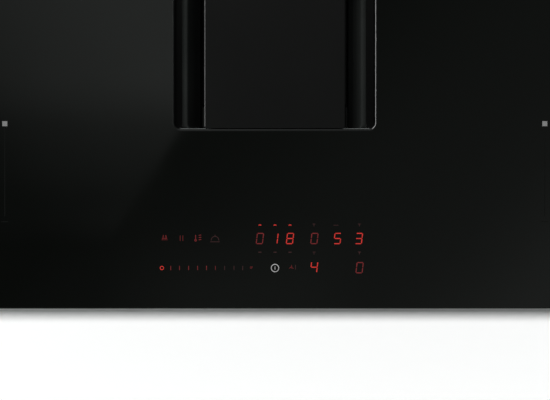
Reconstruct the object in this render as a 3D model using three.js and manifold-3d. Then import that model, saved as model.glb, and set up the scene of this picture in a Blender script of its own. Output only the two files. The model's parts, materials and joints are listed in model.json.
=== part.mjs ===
// A downdraft induction cooktop with its extractor built in, as an assembly of separate pieces.
// Millimetres, +Z up. The origin is the middle of the base; the controls face -Y. The glass lies on a
// worktop and everything else hangs under it: a steel pan with four coils and their electronics, and
// below it the intake box, the air duct and the blower. The cover, the filter and the drip tray lift
// out through the opening in the glass.
import * as THREE from "three";
import { mergeVertices } from "three/addons/utils/BufferGeometryUtils.js";
import Module from "manifold-3d";

const wasm = await Module();
wasm.setup();

// ---------------------------------------------------------------- driving dimensions
const SEAT = 0.25; // gap between pieces that bear on each other
const SLIP = 0.5; // gap round a piece that is lifted out or turns

const GLASS_WIDTH = 830;
const GLASS_DEPTH = 515;
const GLASS_THICKNESS = 4;
const GLASS_CORNER = 6;
const GLASS_BEVEL = 0.75;

const SEAL_WIDTH = 8;
const SEAL_THICKNESS = 2.5;
const SEAL_INSET = 2.5;

const VENT_WIDTH = 204; // outside of the trim round the opening
const VENT_SETBACK = 177.5; // front edge of the glass to the front of the trim
const VENT_REAR_SETBACK = 65.5; // and its rear edge to the rear of the trim
const VENT_CORNER = 8;
const TRIM_LIP = 2.5; // width of metal seen from above
const TRIM_LEG = 1;
const TRIM_PROUD = 0.75;
const TRIM_COVERS_GLASS = 1.25;
const TRIM_EDGE = 0.25; // rounding of the lip's outer edge
const TRIM_ROLL = 0.9; // and of its inner edge

const COLLAR_WALL = 2.5;
const COLLAR_FLANGE = 8; // how far its flange reaches out under the glass
const COLLAR_SHOULDER_DEPTH = 15.5; // glass top to the shoulder that the cover stands on
const COLLAR_SHOULDER_INSET = 10;
const COLLAR_SHOULDER_WIDTH = 4;
const COLLAR_FLARE = 27; // how much narrower the throat is than the trim, each side
const COLLAR_FALL = 36; // drop of the rounded fall from the shoulder to the throat
const COLLAR_DEPTH = 66;
const COLLAR_DRAFT = 2; // how far the wall's top 3 mm lean in
const COLLAR_CORNER = 5;

const COVER_WIDTH = 140;
const COVER_THICKNESS = 4;
const COVER_BEVEL = 1;
const CARRIER_THICKNESS = 1.5;
const CARRIER_MARGIN = 12;
const CARRIER_FOOT_WIDTH = 90;
const CARRIER_FRAME = 16; // width of the plate left round its window
const CARRIER_BRIDGE = 30; // and at its two ends
const CARRIER_CORNER = 3;
const CARRIER_WINDOW_CORNER = 6;
const PAD_THICKNESS = 1.5;
const PAD_WIDTH = 3.5;

const PAN_SIDE_INSET = 16; // edge of the glass to the pan's wall
const PAN_FRONT_INSET = 16.5;
const PAN_DEPTH = 53.5;
const PAN_SHEET = 1;
const PAN_FLANGE = 3;
const PAN_CORNER = 4;
const GRILLE_PITCH = 12;
const GRILLE_SLOT = 6;
const GRILLE_ROWS = 2; // rows each side of the middle one
const GRILLE_MARGIN = 3; // fan bore to the grille's outline
const EXHAUST_SLOTS = 6;
const EXHAUST_PITCH = 20;
const EXHAUST_SLOT = 6;
const EXHAUST_HEIGHT = 24;
const EXHAUST_LIFT = 10; // pan floor to the slots

const COIL_SIDE_SETBACK = 145; // side edge of the glass to a zone's centre mark
const COIL_SETBACK = 185; // front edge of the glass to the front zone's centre mark
const COIL_REAR_SETBACK = 132; // rear edge of the glass to the rear zone's centre mark
const WINDING_WIDTH = 200;
const WINDING_GAP = 16; // between the front and the rear winding
const WINDING_HOLE = 42; // length of the hole in its middle
const WINDING_HEIGHT = 5;
const WINDING_TURNS = 4;
const WINDING_GROOVE = 1.5; // depth and half the width of the grooves between its turns
const WINDING_CORNER = 42;
const COIL_CARRIER_HEIGHT = 3.5;
const COIL_MARGIN = 2;
const COIL_CORNER = 16;
const COIL_WINDOW_X = 36;
const COIL_WINDOW_Y = 32;
const COIL_WINDOW_PLACE = 0.55; // share of the carrier's half width and length
const SENSOR_RADIUS = 11;
const COIL_PLATE_SHEET = 1.5;
const COIL_PLATE_MARGIN = 6;
const COIL_PLATE_HOLE = 20;
const COIL_PLATE_CORNER = 4;
const COIL_LEG_WIDTH = 20;
const COIL_LEG_INSET = 22; // plate's end to the leg's middle
const COIL_GLASS_GAP = 0.75; // insulating sheet under the glass

const BOARD_WIDTH = 150;
const BOARD_LENGTH = 230;
const BOARD_THICKNESS = 1.6;
const BOARD_POST_HEIGHT = 6;
const BOARD_POST_RADIUS = 3;
const BOARD_POST_INSET = 6;
const BOARD_PARTS_INSET = 22; // board's edge to the row of tall parts
const CAPACITOR_RADIUS = 12;
const CAPACITOR_HEIGHT = 22;
const FILM_CAPACITOR_WIDTH = 26;
const FILM_CAPACITOR_LENGTH = 32;
const FILM_CAPACITOR_HEIGHT = 20;
const CHOKE_WIDTH = 26;
const CHOKE_LENGTH = 25;
const CHOKE_HEIGHT = 16;
const RELAY_WIDTH = 20;
const RELAY_LENGTH = 30;
const RELAY_HEIGHT = 12;
const BOARD_PARTS_GAP = 13;
const BOARD_PARTS_START = 95; // board's front end to the film capacitor
const BOARD_SETBACK = 267.5; // front edge of the glass to the boards' middle
const SINK_WIDTH = 60;
const SINK_LENGTH = 190;
const SINK_HEIGHT = 26;
const SINK_FINS = 7;
const SINK_BASE = 4;
const SINK_FIN = 1.5;

const FAN_SIZE = 80;
const FAN_HEIGHT = 15;
const FAN_BORE_RADIUS = 37;
const FAN_HUB_RADIUS = 15;
const FAN_BLADES = 7;
const FAN_ARM_HEIGHT = 2;
const FAN_ARM_WIDTH = 3;
const FAN_BLADE_CHORD = 14;
const FAN_BLADE_THICKNESS = 1.2;
const FAN_BLADE_PITCH = 30; // degrees
const FAN_GAP = 0.75; // round the rotor
const FAN_CORNER = 5;
const FAN_SIDE_SETBACK = 105; // side edge of the glass to the fan's centre
const FAN_SETBACK = 65.5; // front edge of the glass to the fan's centre

const DISPLAY_WIDTH = 232;
const DISPLAY_LENGTH = 62;
const DISPLAY_HEIGHT = 20;
const DISPLAY_SHIFT = 12; // middle of the hob to the holder's middle, to the left
const DISPLAY_SETBACK = 60;
const DISPLAY_WALL = 2;
const DISPLAY_CORNER = 4;
const DIGIT_BLOCK_HEIGHT = 8;
const DIGIT_PIN_INSET = 2;
const DISPLAY_LEG_WIDTH = 16;
const DISPLAY_LEG_LENGTH = 28;
const DISPLAY_LEG_INSET = 20;
const TIMER_AREA = [-13, 34, -1, 25]; // left, right, front and rear, from the holder's middle
const ZONE_AREA = [43, 107, -25, 25];

const SCROLL_HEIGHT = 94;
const SCROLL_WALL = 2.5;
const SCROLL_FLOOR = 3;
const BLOWER_REACH = 164; // intake box's wall to the blower's axis
const BLOWER_ADVANCE = 71; // middle of the vent forward to the blower's axis
const IMPELLER_RADIUS = 85;
const IMPELLER_BAND = 17; // radial length of its blades
const IMPELLER_HEIGHT = 70;
const IMPELLER_BLADES = 22;
const IMPELLER_LIFT = 9; // floor of the housing to the impeller
const TONGUE_GAP = 8;
const SCROLL_GROWTH = 48;
const TONGUE_ANGLE = 50;
const OUTLET_STRAIGHT = 20; // how far the outlet runs parallel before the spigot
const MOTOR_RADIUS = 42;
const MOTOR_HEIGHT = 46;
const MOTOR_FLANGE_WIDTH = 4;
const MOTOR_FLANGE_HEIGHT = 3;
const SHAFT_RADIUS = 4;
const SHAFT_GAP = 0.4;
const SHAFT_DEPTH = 8; // motor's foot to the bottom of its bore
const HUB_HEIGHT = 6;
const NUT_RADIUS = 7.5;
const IMPELLER_SHEET = 2.5;
const IMPELLER_BLADE = 1.5;
const IMPELLER_BLADE_ANGLE = 28;
const DOME_GAP = 3; // round the motor
const DOME_CLEARANCE = 8; // above it
const EYE_RADIUS = 58;
const EYE_LIP_GAP = 4; // round the inlet ring in the lid
const EYE_DUCT_GAP = 10; // round it in the duct's floor
const INLET_REACH = 9; // how far the inlet ring reaches down, and out over the lid

const OUTLET_INSET = 7.5; // rear edge of the glass to the end of the spigot
const SPIGOT_WIDTH = 222; // fits a 220 x 90 flat duct
const SPIGOT_HEIGHT = 89;
const SPIGOT_LENGTH = 47;
const SPIGOT_FLANGE = 3;
const OUTLET_WIDTH = 231;
const DAMPER_THICKNESS = 2;
const DAMPER_PIN_RADIUS = 2;
const DAMPER_PIN_GAP = 0.4;
const DAMPER_SET_BACK = 7; // spigot's flange to the flaps' pins
const DAMPER_SIDE_GAP = 1;

const BOX_WALL = 3;
const BOX_FLANGE = 14;
const BOX_CORNER = 8;
const LEDGE_WIDTH = 8;
const SUMP_RIM = 10;
const CLIP_WIDTH = 24;
const CLIP_REACH = 5;
const FILTER_THICKNESS = 20;
const FILTER_SHEET = 1.5;
const FILTER_RETURN = 7;
const FILTER_FOLDS = 14;
const FILTER_CLEARANCE = 1.5;
const FILTER_SEAT_DEPTH = 72; // glass top to the ledge that the filter lies on
const HANDLE_RADIUS = 2;
const HANDLE_WIDTH = 84;
const HANDLE_REACH = 26;
const HANDLE_BEND = 7;
const HANDLE_END = 8; // how far its ends turn out
const EAR_THICKNESS = 3;
const EAR_WIDTH = 10;
const FILTER_BAR = 20;
const FILTER_PACK_SHEET = 3;
const TRAY_SIDE_GAP = 2; // round the tray as it is lifted through the ledge
const TRAY_END_GAP = 4;
const TRAY_HEIGHT = 32;
const TRAY_WALL = 2;
const TRAY_CORNER = 10;
const TRAY_GRIP_WIDTH = 60;
const TRAY_GRIP_LENGTH = 11;

const DUCT_HEIGHT = 68; // top of the blower to the underside of the pan
const DUCT_RIGHT_REACH = 95; // blower's axis to the duct's walls
const DUCT_FRONT_REACH = 82;
const DUCT_REAR_REACH = 135;
const DUCT_WALL = 2.5;
const DUCT_CORNER = 60;
const PASSAGE_MARGIN = 3.75; // duct's underside to the opening, and past the box's front and rear walls
const PASSAGE_FRONT_REACH = 106; // middle of the vent to the opening's ends
const PASSAGE_REAR_REACH = 56;

const TERMINAL_WIDTH = 120;
const TERMINAL_LENGTH = 100;
const TERMINAL_HEIGHT = 42;
const TERMINAL_SIDE_INSET = 14; // pan's wall to the box
const TERMINAL_REAR_INSET = 10;
const TERMINAL_WALL = 2.5;
const TERMINAL_CORNER = 4;
const GLAND_RADIUS = 10;
const GLAND_BORE = 5.5;
const GLAND_SLEEVE = 10; // outside of the box's wall to the gland's end
const GLAND_COLLAR = 8;
const GLAND_COLLAR_WIDTH = 3;
const TERMINAL_BLOCK_WIDTH = 68;
const TERMINAL_BLOCK_LENGTH = 24;
const TERMINAL_BLOCK_HEIGHT = 18;
const TERMINAL_SCREWS = 5;
const TERMINAL_SCREW_PITCH = 13;
const TERMINAL_SCREW_RADIUS = 3.5;

const CLAMP_Y = 150;
const CLAMP_WIDTH = 24;
const CLAMP_SHEET = 2;
const CLAMP_REACH = 15;
const CLAMP_HEIGHT = 26;
const CLAMP_LIFT = 7.5; // underside of the pan to the clamp's tab
const SCREW_RADIUS = 2.5;
const SCREW_TRAVEL = 16;
const SCREW_GAP = 1; // head or tip to the tab at either end of its travel
const SCREW_HEAD_RADIUS = 5.5;
const SCREW_HEAD_HEIGHT = 5;
const SCREW_TIP_RADIUS = 4;
const SCREW_TIP_HEIGHT = 3;

// ---------------------------------------------------------------- levels and places worked out from them
const boxTop = SCROLL_HEIGHT + DUCT_HEIGHT; // top of the intake box
const panBottom = boxTop + SEAT;
const panTop = panBottom + PAN_DEPTH;
const panFloor = panBottom + PAN_SHEET + SEAT; // what stands in the pan starts here
const glassBottom = panTop + SEAT;
const glassTop = glassBottom + GLASS_THICKNESS;
const glassFront = -GLASS_DEPTH / 2;
const ventLength = GLASS_DEPTH - VENT_SETBACK - VENT_REAR_SETBACK;
const ventY = glassFront + VENT_SETBACK + ventLength / 2;
const ventHalfX = VENT_WIDTH / 2;
const ventHalfY = ventLength / 2;
const throatX = ventHalfX - COLLAR_FLARE;
const throatY = ventHalfY - COLLAR_FLARE;
const ledgeTop = glassTop - FILTER_SEAT_DEPTH;
const boxInX = throatX + COLLAR_WALL + SLIP;
const boxInY = throatY + COLLAR_WALL + SLIP;
const boxOutX = boxInX + BOX_WALL;
const boxOutY = boxInY + BOX_WALL;
const blowerX = boxOutX + BLOWER_REACH;
const blowerY = ventY - BLOWER_ADVANCE;
const outletEnd = GLASS_DEPTH / 2 - OUTLET_INSET;
const ductBottom = SCROLL_HEIGHT + SEAT;
const ductTop = boxTop - BOX_WALL - SEAT;
const ductRight = blowerX + DUCT_RIGHT_REACH;
const ductFront = blowerY - DUCT_FRONT_REACH;
const ductRear = blowerY + DUCT_REAR_REACH;
const shoulderZ = glassTop - COLLAR_SHOULDER_DEPTH;
const panHalfX = GLASS_WIDTH / 2 - PAN_SIDE_INSET;
const panHalfY = GLASS_DEPTH / 2 - PAN_FRONT_INSET;
const coilX = GLASS_WIDTH / 2 - COIL_SIDE_SETBACK;
const coilPitch = GLASS_DEPTH - COIL_SETBACK - COIL_REAR_SETBACK;
const coilFrontY = glassFront + COIL_SETBACK;
const coilRearY = coilFrontY + coilPitch;
const windingLength = coilPitch - WINDING_GAP;
const windingBand = (windingLength - WINDING_HOLE) / 2; // outside of the winding to its hole
const fanX = GLASS_WIDTH / 2 - FAN_SIDE_SETBACK;
const fanY = glassFront + FAN_SETBACK;

// ---------------------------------------------------------------- finishes
const finish = (color, roughness, metalness) => ({ color, roughness, metalness });
const BLACK_GLASS = finish(0x0b0c0c, 0.06, 0);
const SATIN_BLACK = finish(0x1a1a1a, 0.45, 0.3);
const DARK_CHROME = finish(0x8a8c8e, 0.25, 1);
const BLACK_PLASTIC = finish(0x151616, 0.5, 0);
const GREY_PLASTIC = finish(0x3a3d40, 0.6, 0);
const WHITE_PLASTIC = finish(0xd8d8d2, 0.5, 0);
const ZINC_STEEL = finish(0xa9adb0, 0.4, 0.9);
const ALUMINIUM = finish(0xb9bcbf, 0.35, 1);
const COPPER = finish(0x9c4f2b, 0.45, 0.8);
const FERRITE = finish(0x2b2b2d, 0.7, 0);
const FOAM = finish(0x2a2a2a, 0.95, 0);
const SILICONE = finish(0x222222, 0.8, 0);
const GREEN_BOARD = finish(0x1f5b38, 0.5, 0);
const DISPLAY_RED = finish(0x5a1410, 0.35, 0);

// ---------------------------------------------------------------- solid helpers
// A closed three.js geometry as a manifold-3d solid whose faces point out.
function solid(geometry) {
  const bare = geometry.index ? geometry.toNonIndexed() : geometry.clone();
  bare.deleteAttribute("normal");
  bare.deleteAttribute("uv");
  const merged = mergeVertices(bare, 1e-4);
  const vertProperties = merged.attributes.position.array;
  const triVerts = new Uint32Array(merged.index.array);
  const made = new wasm.Manifold(new wasm.Mesh({ numProp: 3, vertProperties, triVerts }));
  if (made.volume() > 0) return made;
  for (let i = 0; i < triVerts.length; i += 3) {
    [triVerts[i + 1], triVerts[i + 2]] = [triVerts[i + 2], triVerts[i + 1]];
  }
  return new wasm.Manifold(new wasm.Mesh({ numProp: 3, vertProperties, triVerts }));
}

const join = (first, ...others) => others.reduce((made, other) => made.add(other), first);
const cut = (first, ...tools) => tools.reduce((made, tool) => made.subtract(tool), first);

function geometryOf(manifold) {
  const { vertProperties, triVerts } = manifold.getMesh();
  const geometry = new THREE.BufferGeometry();
  geometry.setAttribute("position", new THREE.BufferAttribute(vertProperties, 3));
  geometry.setIndex(new THREE.BufferAttribute(triVerts, 1));
  return geometry;
}

// A named mesh of one solid, in one finish.
function piece(name, made, look) {
  const flat = geometryOf(made).toNonIndexed();
  flat.computeVertexNormals();
  const mesh = new THREE.Mesh(flat, new THREE.MeshStandardMaterial(look));
  mesh.name = name;
  return mesh;
}

function placed(x, y, z, ...meshes) {
  const group = new THREE.Group();
  group.position.set(x, y, z);
  group.add(...meshes);
  return group;
}

function block(x0, x1, y0, y1, z0, z1) {
  const geometry = new THREE.BoxGeometry(x1 - x0, y1 - y0, z1 - z0);
  return solid(geometry.translate((x0 + x1) / 2, (y0 + y1) / 2, (z0 + z1) / 2));
}

function cylinder(radius, z0, z1, x = 0, y = 0, sides = 24) {
  const geometry = new THREE.CylinderGeometry(radius, radius, z1 - z0, sides);
  return solid(geometry.rotateX(Math.PI / 2).translate(x, y, (z0 + z1) / 2));
}

// A round bar along X.
function barX(radius, x0, x1, y, z, sides = 12) {
  const geometry = new THREE.CylinderGeometry(radius, radius, x1 - x0, sides);
  return solid(geometry.rotateZ(Math.PI / 2).translate((x0 + x1) / 2, y, z));
}

// A round bar along Y.
function barY(radius, y0, y1, x, z, sides = 16) {
  const geometry = new THREE.CylinderGeometry(radius, radius, y1 - y0, sides);
  return solid(geometry.translate(x, (y0 + y1) / 2, z));
}

function roundedRectangle(halfX, halfY, radius) {
  const shape = new THREE.Shape();
  const r = Math.min(radius, halfX, halfY);
  shape.absarc(halfX - r, halfY - r, r, 0, Math.PI / 2, false);
  shape.absarc(-halfX + r, halfY - r, r, Math.PI / 2, Math.PI, false);
  shape.absarc(-halfX + r, -halfY + r, r, Math.PI, 1.5 * Math.PI, false);
  shape.absarc(halfX - r, -halfY + r, r, 1.5 * Math.PI, 2 * Math.PI, false);
  return shape;
}

function prism(shape, z0, z1, curveSegments = 2) {
  const options = { depth: z1 - z0, bevelEnabled: false, curveSegments };
  return solid(new THREE.ExtrudeGeometry(shape, options).translate(0, 0, z0));
}

function plate(halfX, halfY, radius, z0, z1) {
  return prism(roundedRectangle(halfX, halfY, radius), z0, z1);
}

// A plate with both edges of its outline, and of its hole, taken off at 45 degrees.
function bevelledPlate(shape, z0, z1, bevel, curveSegments = 3) {
  const options = { depth: z1 - z0 - 2 * bevel, curveSegments, bevelSegments: 1 };
  options.bevelThickness = bevel;
  options.bevelSize = bevel;
  options.bevelOffset = -bevel;
  return solid(new THREE.ExtrudeGeometry(shape, options).translate(0, 0, z0 + bevel));
}

function polygon(points) {
  return new THREE.Shape(points.map(([x, y]) => new THREE.Vector2(x, y)));
}

// A section carried round a rounded rectangle. Each point of the section is [inset, z, corner radius].
function sweptRing(halfX, halfY, section, cornerSteps = 4) {
  const positions = [];
  for (const [inset, z, radius] of section) {
    const x = halfX - inset - radius;
    const y = halfY - inset - radius;
    const corners = [[x, y], [-x, y], [-x, -y], [x, -y]];
    corners.forEach(([cx, cy], corner) => {
      for (let step = 0; step <= cornerSteps; step += 1) {
        const angle = (corner + step / cornerSteps) * (Math.PI / 2);
        positions.push(cx + radius * Math.cos(angle), cy + radius * Math.sin(angle), z);
      }
    });
  }
  const around = 4 * (cornerSteps + 1);
  const index = [];
  for (let i = 0; i < section.length; i += 1) {
    const here = i * around;
    const next = ((i + 1) % section.length) * around;
    for (let j = 0; j < around; j += 1) {
      const k = (j + 1) % around;
      index.push(here + j, here + k, next + k, here + j, next + k, next + j);
    }
  }
  const geometry = new THREE.BufferGeometry();
  geometry.setAttribute("position", new THREE.BufferAttribute(new Float32Array(positions), 3));
  geometry.setIndex(index);
  return solid(geometry);
}

// A section turned about the Z axis. Each point is [radius, z]; the section closes on itself.
function turned(section, sides = 32) {
  const points = [...section, section[0]].map(([r, z]) => new THREE.Vector2(r, z));
  return solid(new THREE.LatheGeometry(points, sides).rotateX(Math.PI / 2));
}

// ---------------------------------------------------------------- glass, its seal and the trim
function glassPanel() {
  const shape = roundedRectangle(GLASS_WIDTH / 2, GLASS_DEPTH / 2, GLASS_CORNER);
  const inset = TRIM_COVERS_GLASS;
  const hole = roundedRectangle(ventHalfX - inset, ventHalfY - inset, VENT_CORNER - inset);
  const points = hole.getPoints(3).map((p) => new THREE.Vector2(p.x, p.y + ventY));
  shape.holes.push(new THREE.Path(points.reverse()));
  return piece("glass_panel", bevelledPlate(shape, glassBottom, glassTop, GLASS_BEVEL), BLACK_GLASS);
}

function rimSeal() {
  const section = [
    [SEAL_INSET, glassBottom - SEAT, GLASS_CORNER],
    [SEAL_INSET + SEAL_WIDTH, glassBottom - SEAT, GLASS_CORNER],
    [SEAL_INSET + SEAL_WIDTH, glassBottom - SEAT - SEAL_THICKNESS, GLASS_CORNER],
    [SEAL_INSET, glassBottom - SEAT - SEAL_THICKNESS, GLASS_CORNER],
  ];
  return piece("rim_seal", sweptRing(GLASS_WIDTH / 2, GLASS_DEPTH / 2, section, 3), FOAM);
}

function ventTrim() {
  const top = glassTop + TRIM_PROUD;
  const legOut = TRIM_COVERS_GLASS + SEAT;
  const legIn = legOut + TRIM_LEG;
  const legEnd = glassBottom + SEAT;
  const section = [
    [0, glassTop + SEAT, VENT_CORNER],
    [TRIM_EDGE, top, VENT_CORNER - TRIM_EDGE],
    [legIn - TRIM_ROLL, top, VENT_CORNER - legIn + TRIM_ROLL],
    [legIn - 0.3 * TRIM_ROLL, top - 0.3 * TRIM_ROLL, VENT_CORNER - legIn + 0.3 * TRIM_ROLL],
    [legIn, top - TRIM_ROLL, VENT_CORNER - legIn],
    [legIn, legEnd, VENT_CORNER - legIn],
    [legOut, legEnd, VENT_CORNER - legOut],
    [legOut, glassTop + SEAT, VENT_CORNER - legOut],
  ];
  return piece("vent_trim", sweptRing(ventHalfX, ventHalfY, section), DARK_CHROME);
}

// The moulded funnel: a flange under the glass, a steep wall, the shoulder that the cover stands on,
// then a rounded fall into the throat.
function ventCollar() {
  const flangeTop = glassBottom - SEAT;
  const shoulderOut = COLLAR_SHOULDER_INSET;
  const shoulderIn = shoulderOut + COLLAR_SHOULDER_WIDTH;
  const fall = COLLAR_FLARE - shoulderIn; // horizontal run of the rounded fall
  const straight = shoulderZ - COLLAR_FALL; // below this the throat runs straight down
  const end = glassTop - COLLAR_DEPTH;
  const wall = COLLAR_WALL;
  const corner = COLLAR_CORNER;
  const mouth = TRIM_COVERS_GLASS + SEAT + TRIM_LEG;
  const inside = [
    [mouth, flangeTop, corner],
    [mouth + COLLAR_DRAFT, flangeTop - wall, corner],
    [shoulderOut - wall / 2, shoulderZ + wall / 2, corner],
    [shoulderOut, shoulderZ, corner],
    [shoulderIn, shoulderZ, corner],
  ];
  for (const degrees of [20, 40, 60, 76]) {
    const angle = (degrees * Math.PI) / 180;
    const inset = shoulderIn + fall * Math.sin(angle);
    inside.push([inset, shoulderZ - COLLAR_FALL * (1 - Math.cos(angle)), corner]);
  }
  inside.push([COLLAR_FLARE, straight, corner], [COLLAR_FLARE, end, corner]);
  const outer = corner + wall;
  const outside = [
    [COLLAR_FLARE - wall, end, outer],
    [COLLAR_FLARE - wall, straight, outer],
    [shoulderIn + 0.6 * fall - wall, shoulderZ - 0.4 * COLLAR_FALL, outer],
    [shoulderIn - wall / 4, shoulderZ - wall, outer],
    [shoulderOut - wall, shoulderZ - 0.8 * wall, corner],
    [mouth - wall / 4, flangeTop - wall, corner],
    [-COLLAR_FLANGE, flangeTop - wall, VENT_CORNER],
    [-COLLAR_FLANGE, flangeTop, VENT_CORNER],
  ];
  const made = sweptRing(ventHalfX, ventHalfY, [...inside, ...outside]);
  return piece("vent_collar", made, BLACK_PLASTIC);
}

// ---------------------------------------------------------------- cover
const coverTop = glassTop + TRIM_PROUD;
const coverHalfY = ventHalfY - (TRIM_COVERS_GLASS + SEAT + TRIM_LEG) - SLIP;
const carrierTop = coverTop - COVER_THICKNESS - SEAT;
const footY = ventHalfY - COLLAR_SHOULDER_INSET - COLLAR_SHOULDER_WIDTH / 2;

function coverPanel() {
  const shape = roundedRectangle(COVER_WIDTH / 2, coverHalfY, 2);
  const made = bevelledPlate(shape, coverTop - COVER_THICKNESS, coverTop, COVER_BEVEL, 2);
  return piece("cover_panel", made, SATIN_BLACK);
}

// A folded steel plate under the cover, with a leg down to the collar's shoulder at each end.
function coverCarrier() {
  const halfX = COVER_WIDTH / 2 - CARRIER_MARGIN;
  const legBottom = shoulderZ + SEAT + PAD_THICKNESS + SEAT;
  const halfFoot = CARRIER_FOOT_WIDTH / 2;
  const halfLeg = CARRIER_THICKNESS / 2;
  const deck = plate(
    halfX, footY + halfLeg, CARRIER_CORNER, carrierTop - CARRIER_THICKNESS, carrierTop,
  );
  const window = plate(
    halfX - CARRIER_FRAME, footY - CARRIER_BRIDGE, CARRIER_WINDOW_CORNER,
    carrierTop - 2 * CARRIER_THICKNESS, coverTop,
  );
  const legs = [-1, 1].map((side) => {
    const [y, foot] = [side * footY, PAD_WIDTH / 2];
    return join(
      block(-halfFoot, halfFoot, y - halfLeg, y + halfLeg, legBottom, carrierTop),
      block(-halfFoot, halfFoot, y - foot, y + foot, legBottom, legBottom + CARRIER_THICKNESS),
    );
  });
  return piece("cover_carrier", join(cut(deck, window), ...legs), ZINC_STEEL);
}

function coverPad(name, side) {
  const halfFoot = CARRIER_FOOT_WIDTH / 2;
  const [y, half] = [side * footY, PAD_WIDTH / 2];
  const bottom = shoulderZ + SEAT;
  const made = block(-halfFoot, halfFoot, y - half, y + half, bottom, bottom + PAD_THICKNESS);
  return piece(name, made, SILICONE);
}

// ---------------------------------------------------------------- grease filter and drip tray
const filterHalfX = throatX - FILTER_CLEARANCE;
const filterHalfY = throatY - FILTER_CLEARANCE;
const filterBottom = ledgeTop + SEAT;
const filterTop = filterBottom + FILTER_THICKNESS;
const handleZ = filterTop + HANDLE_RADIUS + 1;

function filterFrame() {
  const section = [
    [0, filterBottom, 3],
    [0, filterTop, 3],
    [FILTER_RETURN, filterTop, 1],
    [FILTER_RETURN, filterTop - FILTER_SHEET, 1],
    [FILTER_SHEET, filterTop - FILTER_SHEET, 2],
    [FILTER_SHEET, filterBottom + FILTER_SHEET, 2],
    [FILTER_RETURN, filterBottom + FILTER_SHEET, 1],
    [FILTER_RETURN, filterBottom, 1],
  ];
  const ring = sweptRing(filterHalfX, filterHalfY, section, 2);
  const barX1 = filterHalfX - FILTER_SHEET / 2;
  const barTop = filterTop;
  const bar = block(
    -barX1, barX1, -FILTER_BAR / 2, FILTER_BAR / 2, barTop - FILTER_SHEET, barTop,
  );
  // Two ears carry the handle; each has a hole for the handle's end.
  const ears = [-1, 1].map((side) => {
    const x = side * (HANDLE_WIDTH / 2 + HANDLE_END - EAR_THICKNESS);
    const [half, halfY] = [EAR_THICKNESS / 2, EAR_WIDTH / 2];
    const earTop = handleZ + 2 * HANDLE_RADIUS;
    const ear = block(x - half, x + half, -halfY, halfY, barTop - FILTER_SHEET / 2, earTop);
    return cut(ear, barX(HANDLE_RADIUS + SLIP, x - 2 * half, x + 2 * half, 0, handleZ));
  });
  return piece("filter_frame", join(ring, bar, ...ears), ALUMINIUM);
}

// The mesh pack, as one folded sheet held in the frame's channel.
function filterMesh() {
  const halfX = filterHalfX - FILTER_SHEET - SLIP - 1;
  const halfY = filterHalfY - FILTER_SHEET - SLIP - 1;
  const low = filterBottom + FILTER_SHEET + SEAT;
  const high = filterTop - FILTER_SHEET - SEAT;
  const sheet = FILTER_PACK_SHEET;
  const pitch = (2 * halfY) / FILTER_FOLDS;
  const upper = [];
  const lower = [];
  for (let i = 0; i <= FILTER_FOLDS; i += 1) {
    const y = -halfY + i * pitch;
    const up = i % 2 === 0;
    upper.push([y, up ? high : low + sheet]);
    lower.unshift([y, up ? high - sheet : low]);
  }
  const shape = polygon([...upper, ...lower]);
  const options = { depth: 2 * halfX, bevelEnabled: false };
  const geometry = new THREE.ExtrudeGeometry(shape, options).translate(0, 0, -halfX);
  // The section is drawn in Y and Z, so it is turned to run along X.
  geometry.applyMatrix4(new THREE.Matrix4().makeBasis(
    new THREE.Vector3(0, 1, 0), new THREE.Vector3(0, 0, 1), new THREE.Vector3(1, 0, 0),
  ));
  return piece("filter_mesh", solid(geometry), ALUMINIUM);
}

// A wire bail that lies on the filter and swings up; its ends turn out into the ears.
function filterHandle() {
  const half = HANDLE_WIDTH / 2;
  const bend = HANDLE_BEND;
  const reach = HANDLE_REACH;
  const tight = HANDLE_RADIUS;
  const end = half + HANDLE_END;
  const route = [
    [-end, 0], [-half - tight, 0], [-half, tight], [-half, reach - bend], [-half + bend, reach],
    [half - bend, reach], [half, reach - bend], [half, tight], [half + tight, 0], [end, 0],
  ];
  const curve = new THREE.CurvePath();
  const points = route.map(([x, y]) => new THREE.Vector3(x, y, handleZ));
  points.slice(1).forEach((point, i) => curve.add(new THREE.LineCurve3(points[i], point)));
  const ring = new THREE.Shape().absarc(0, 0, HANDLE_RADIUS, 0, 2 * Math.PI, false);
  const smooth = new THREE.CatmullRomCurve3(curve.getSpacedPoints(30), false, "centripetal");
  const options = { steps: 30, curveSegments: 4, extrudePath: smooth };
  return piece("filter_handle", solid(new THREE.ExtrudeGeometry(ring, options)), ALUMINIUM);
}

function dripTray() {
  const bottom = SCROLL_FLOOR + SEAT;
  const top = bottom + TRAY_HEIGHT;
  const halfX = boxInX - LEDGE_WIDTH - TRAY_SIDE_GAP;
  const halfY = boxInY - LEDGE_WIDTH - TRAY_END_GAP;
  const outer = plate(halfX, halfY, TRAY_CORNER, bottom, top);
  const inner = plate(
    halfX - TRAY_WALL, halfY - TRAY_WALL, TRAY_CORNER - TRAY_WALL, bottom + TRAY_WALL, top + 1,
  );
  const [grip0, grip1] = [halfY - TRAY_WALL / 2 - TRAY_GRIP_LENGTH, halfY - TRAY_WALL / 2];
  const halfGrip = TRAY_GRIP_WIDTH / 2;
  const grip = block(-halfGrip, halfGrip, grip0, grip1, top - TRAY_WALL, top);
  return piece("drip_tray", join(cut(outer, inner), grip), GREY_PLASTIC);
}

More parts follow.
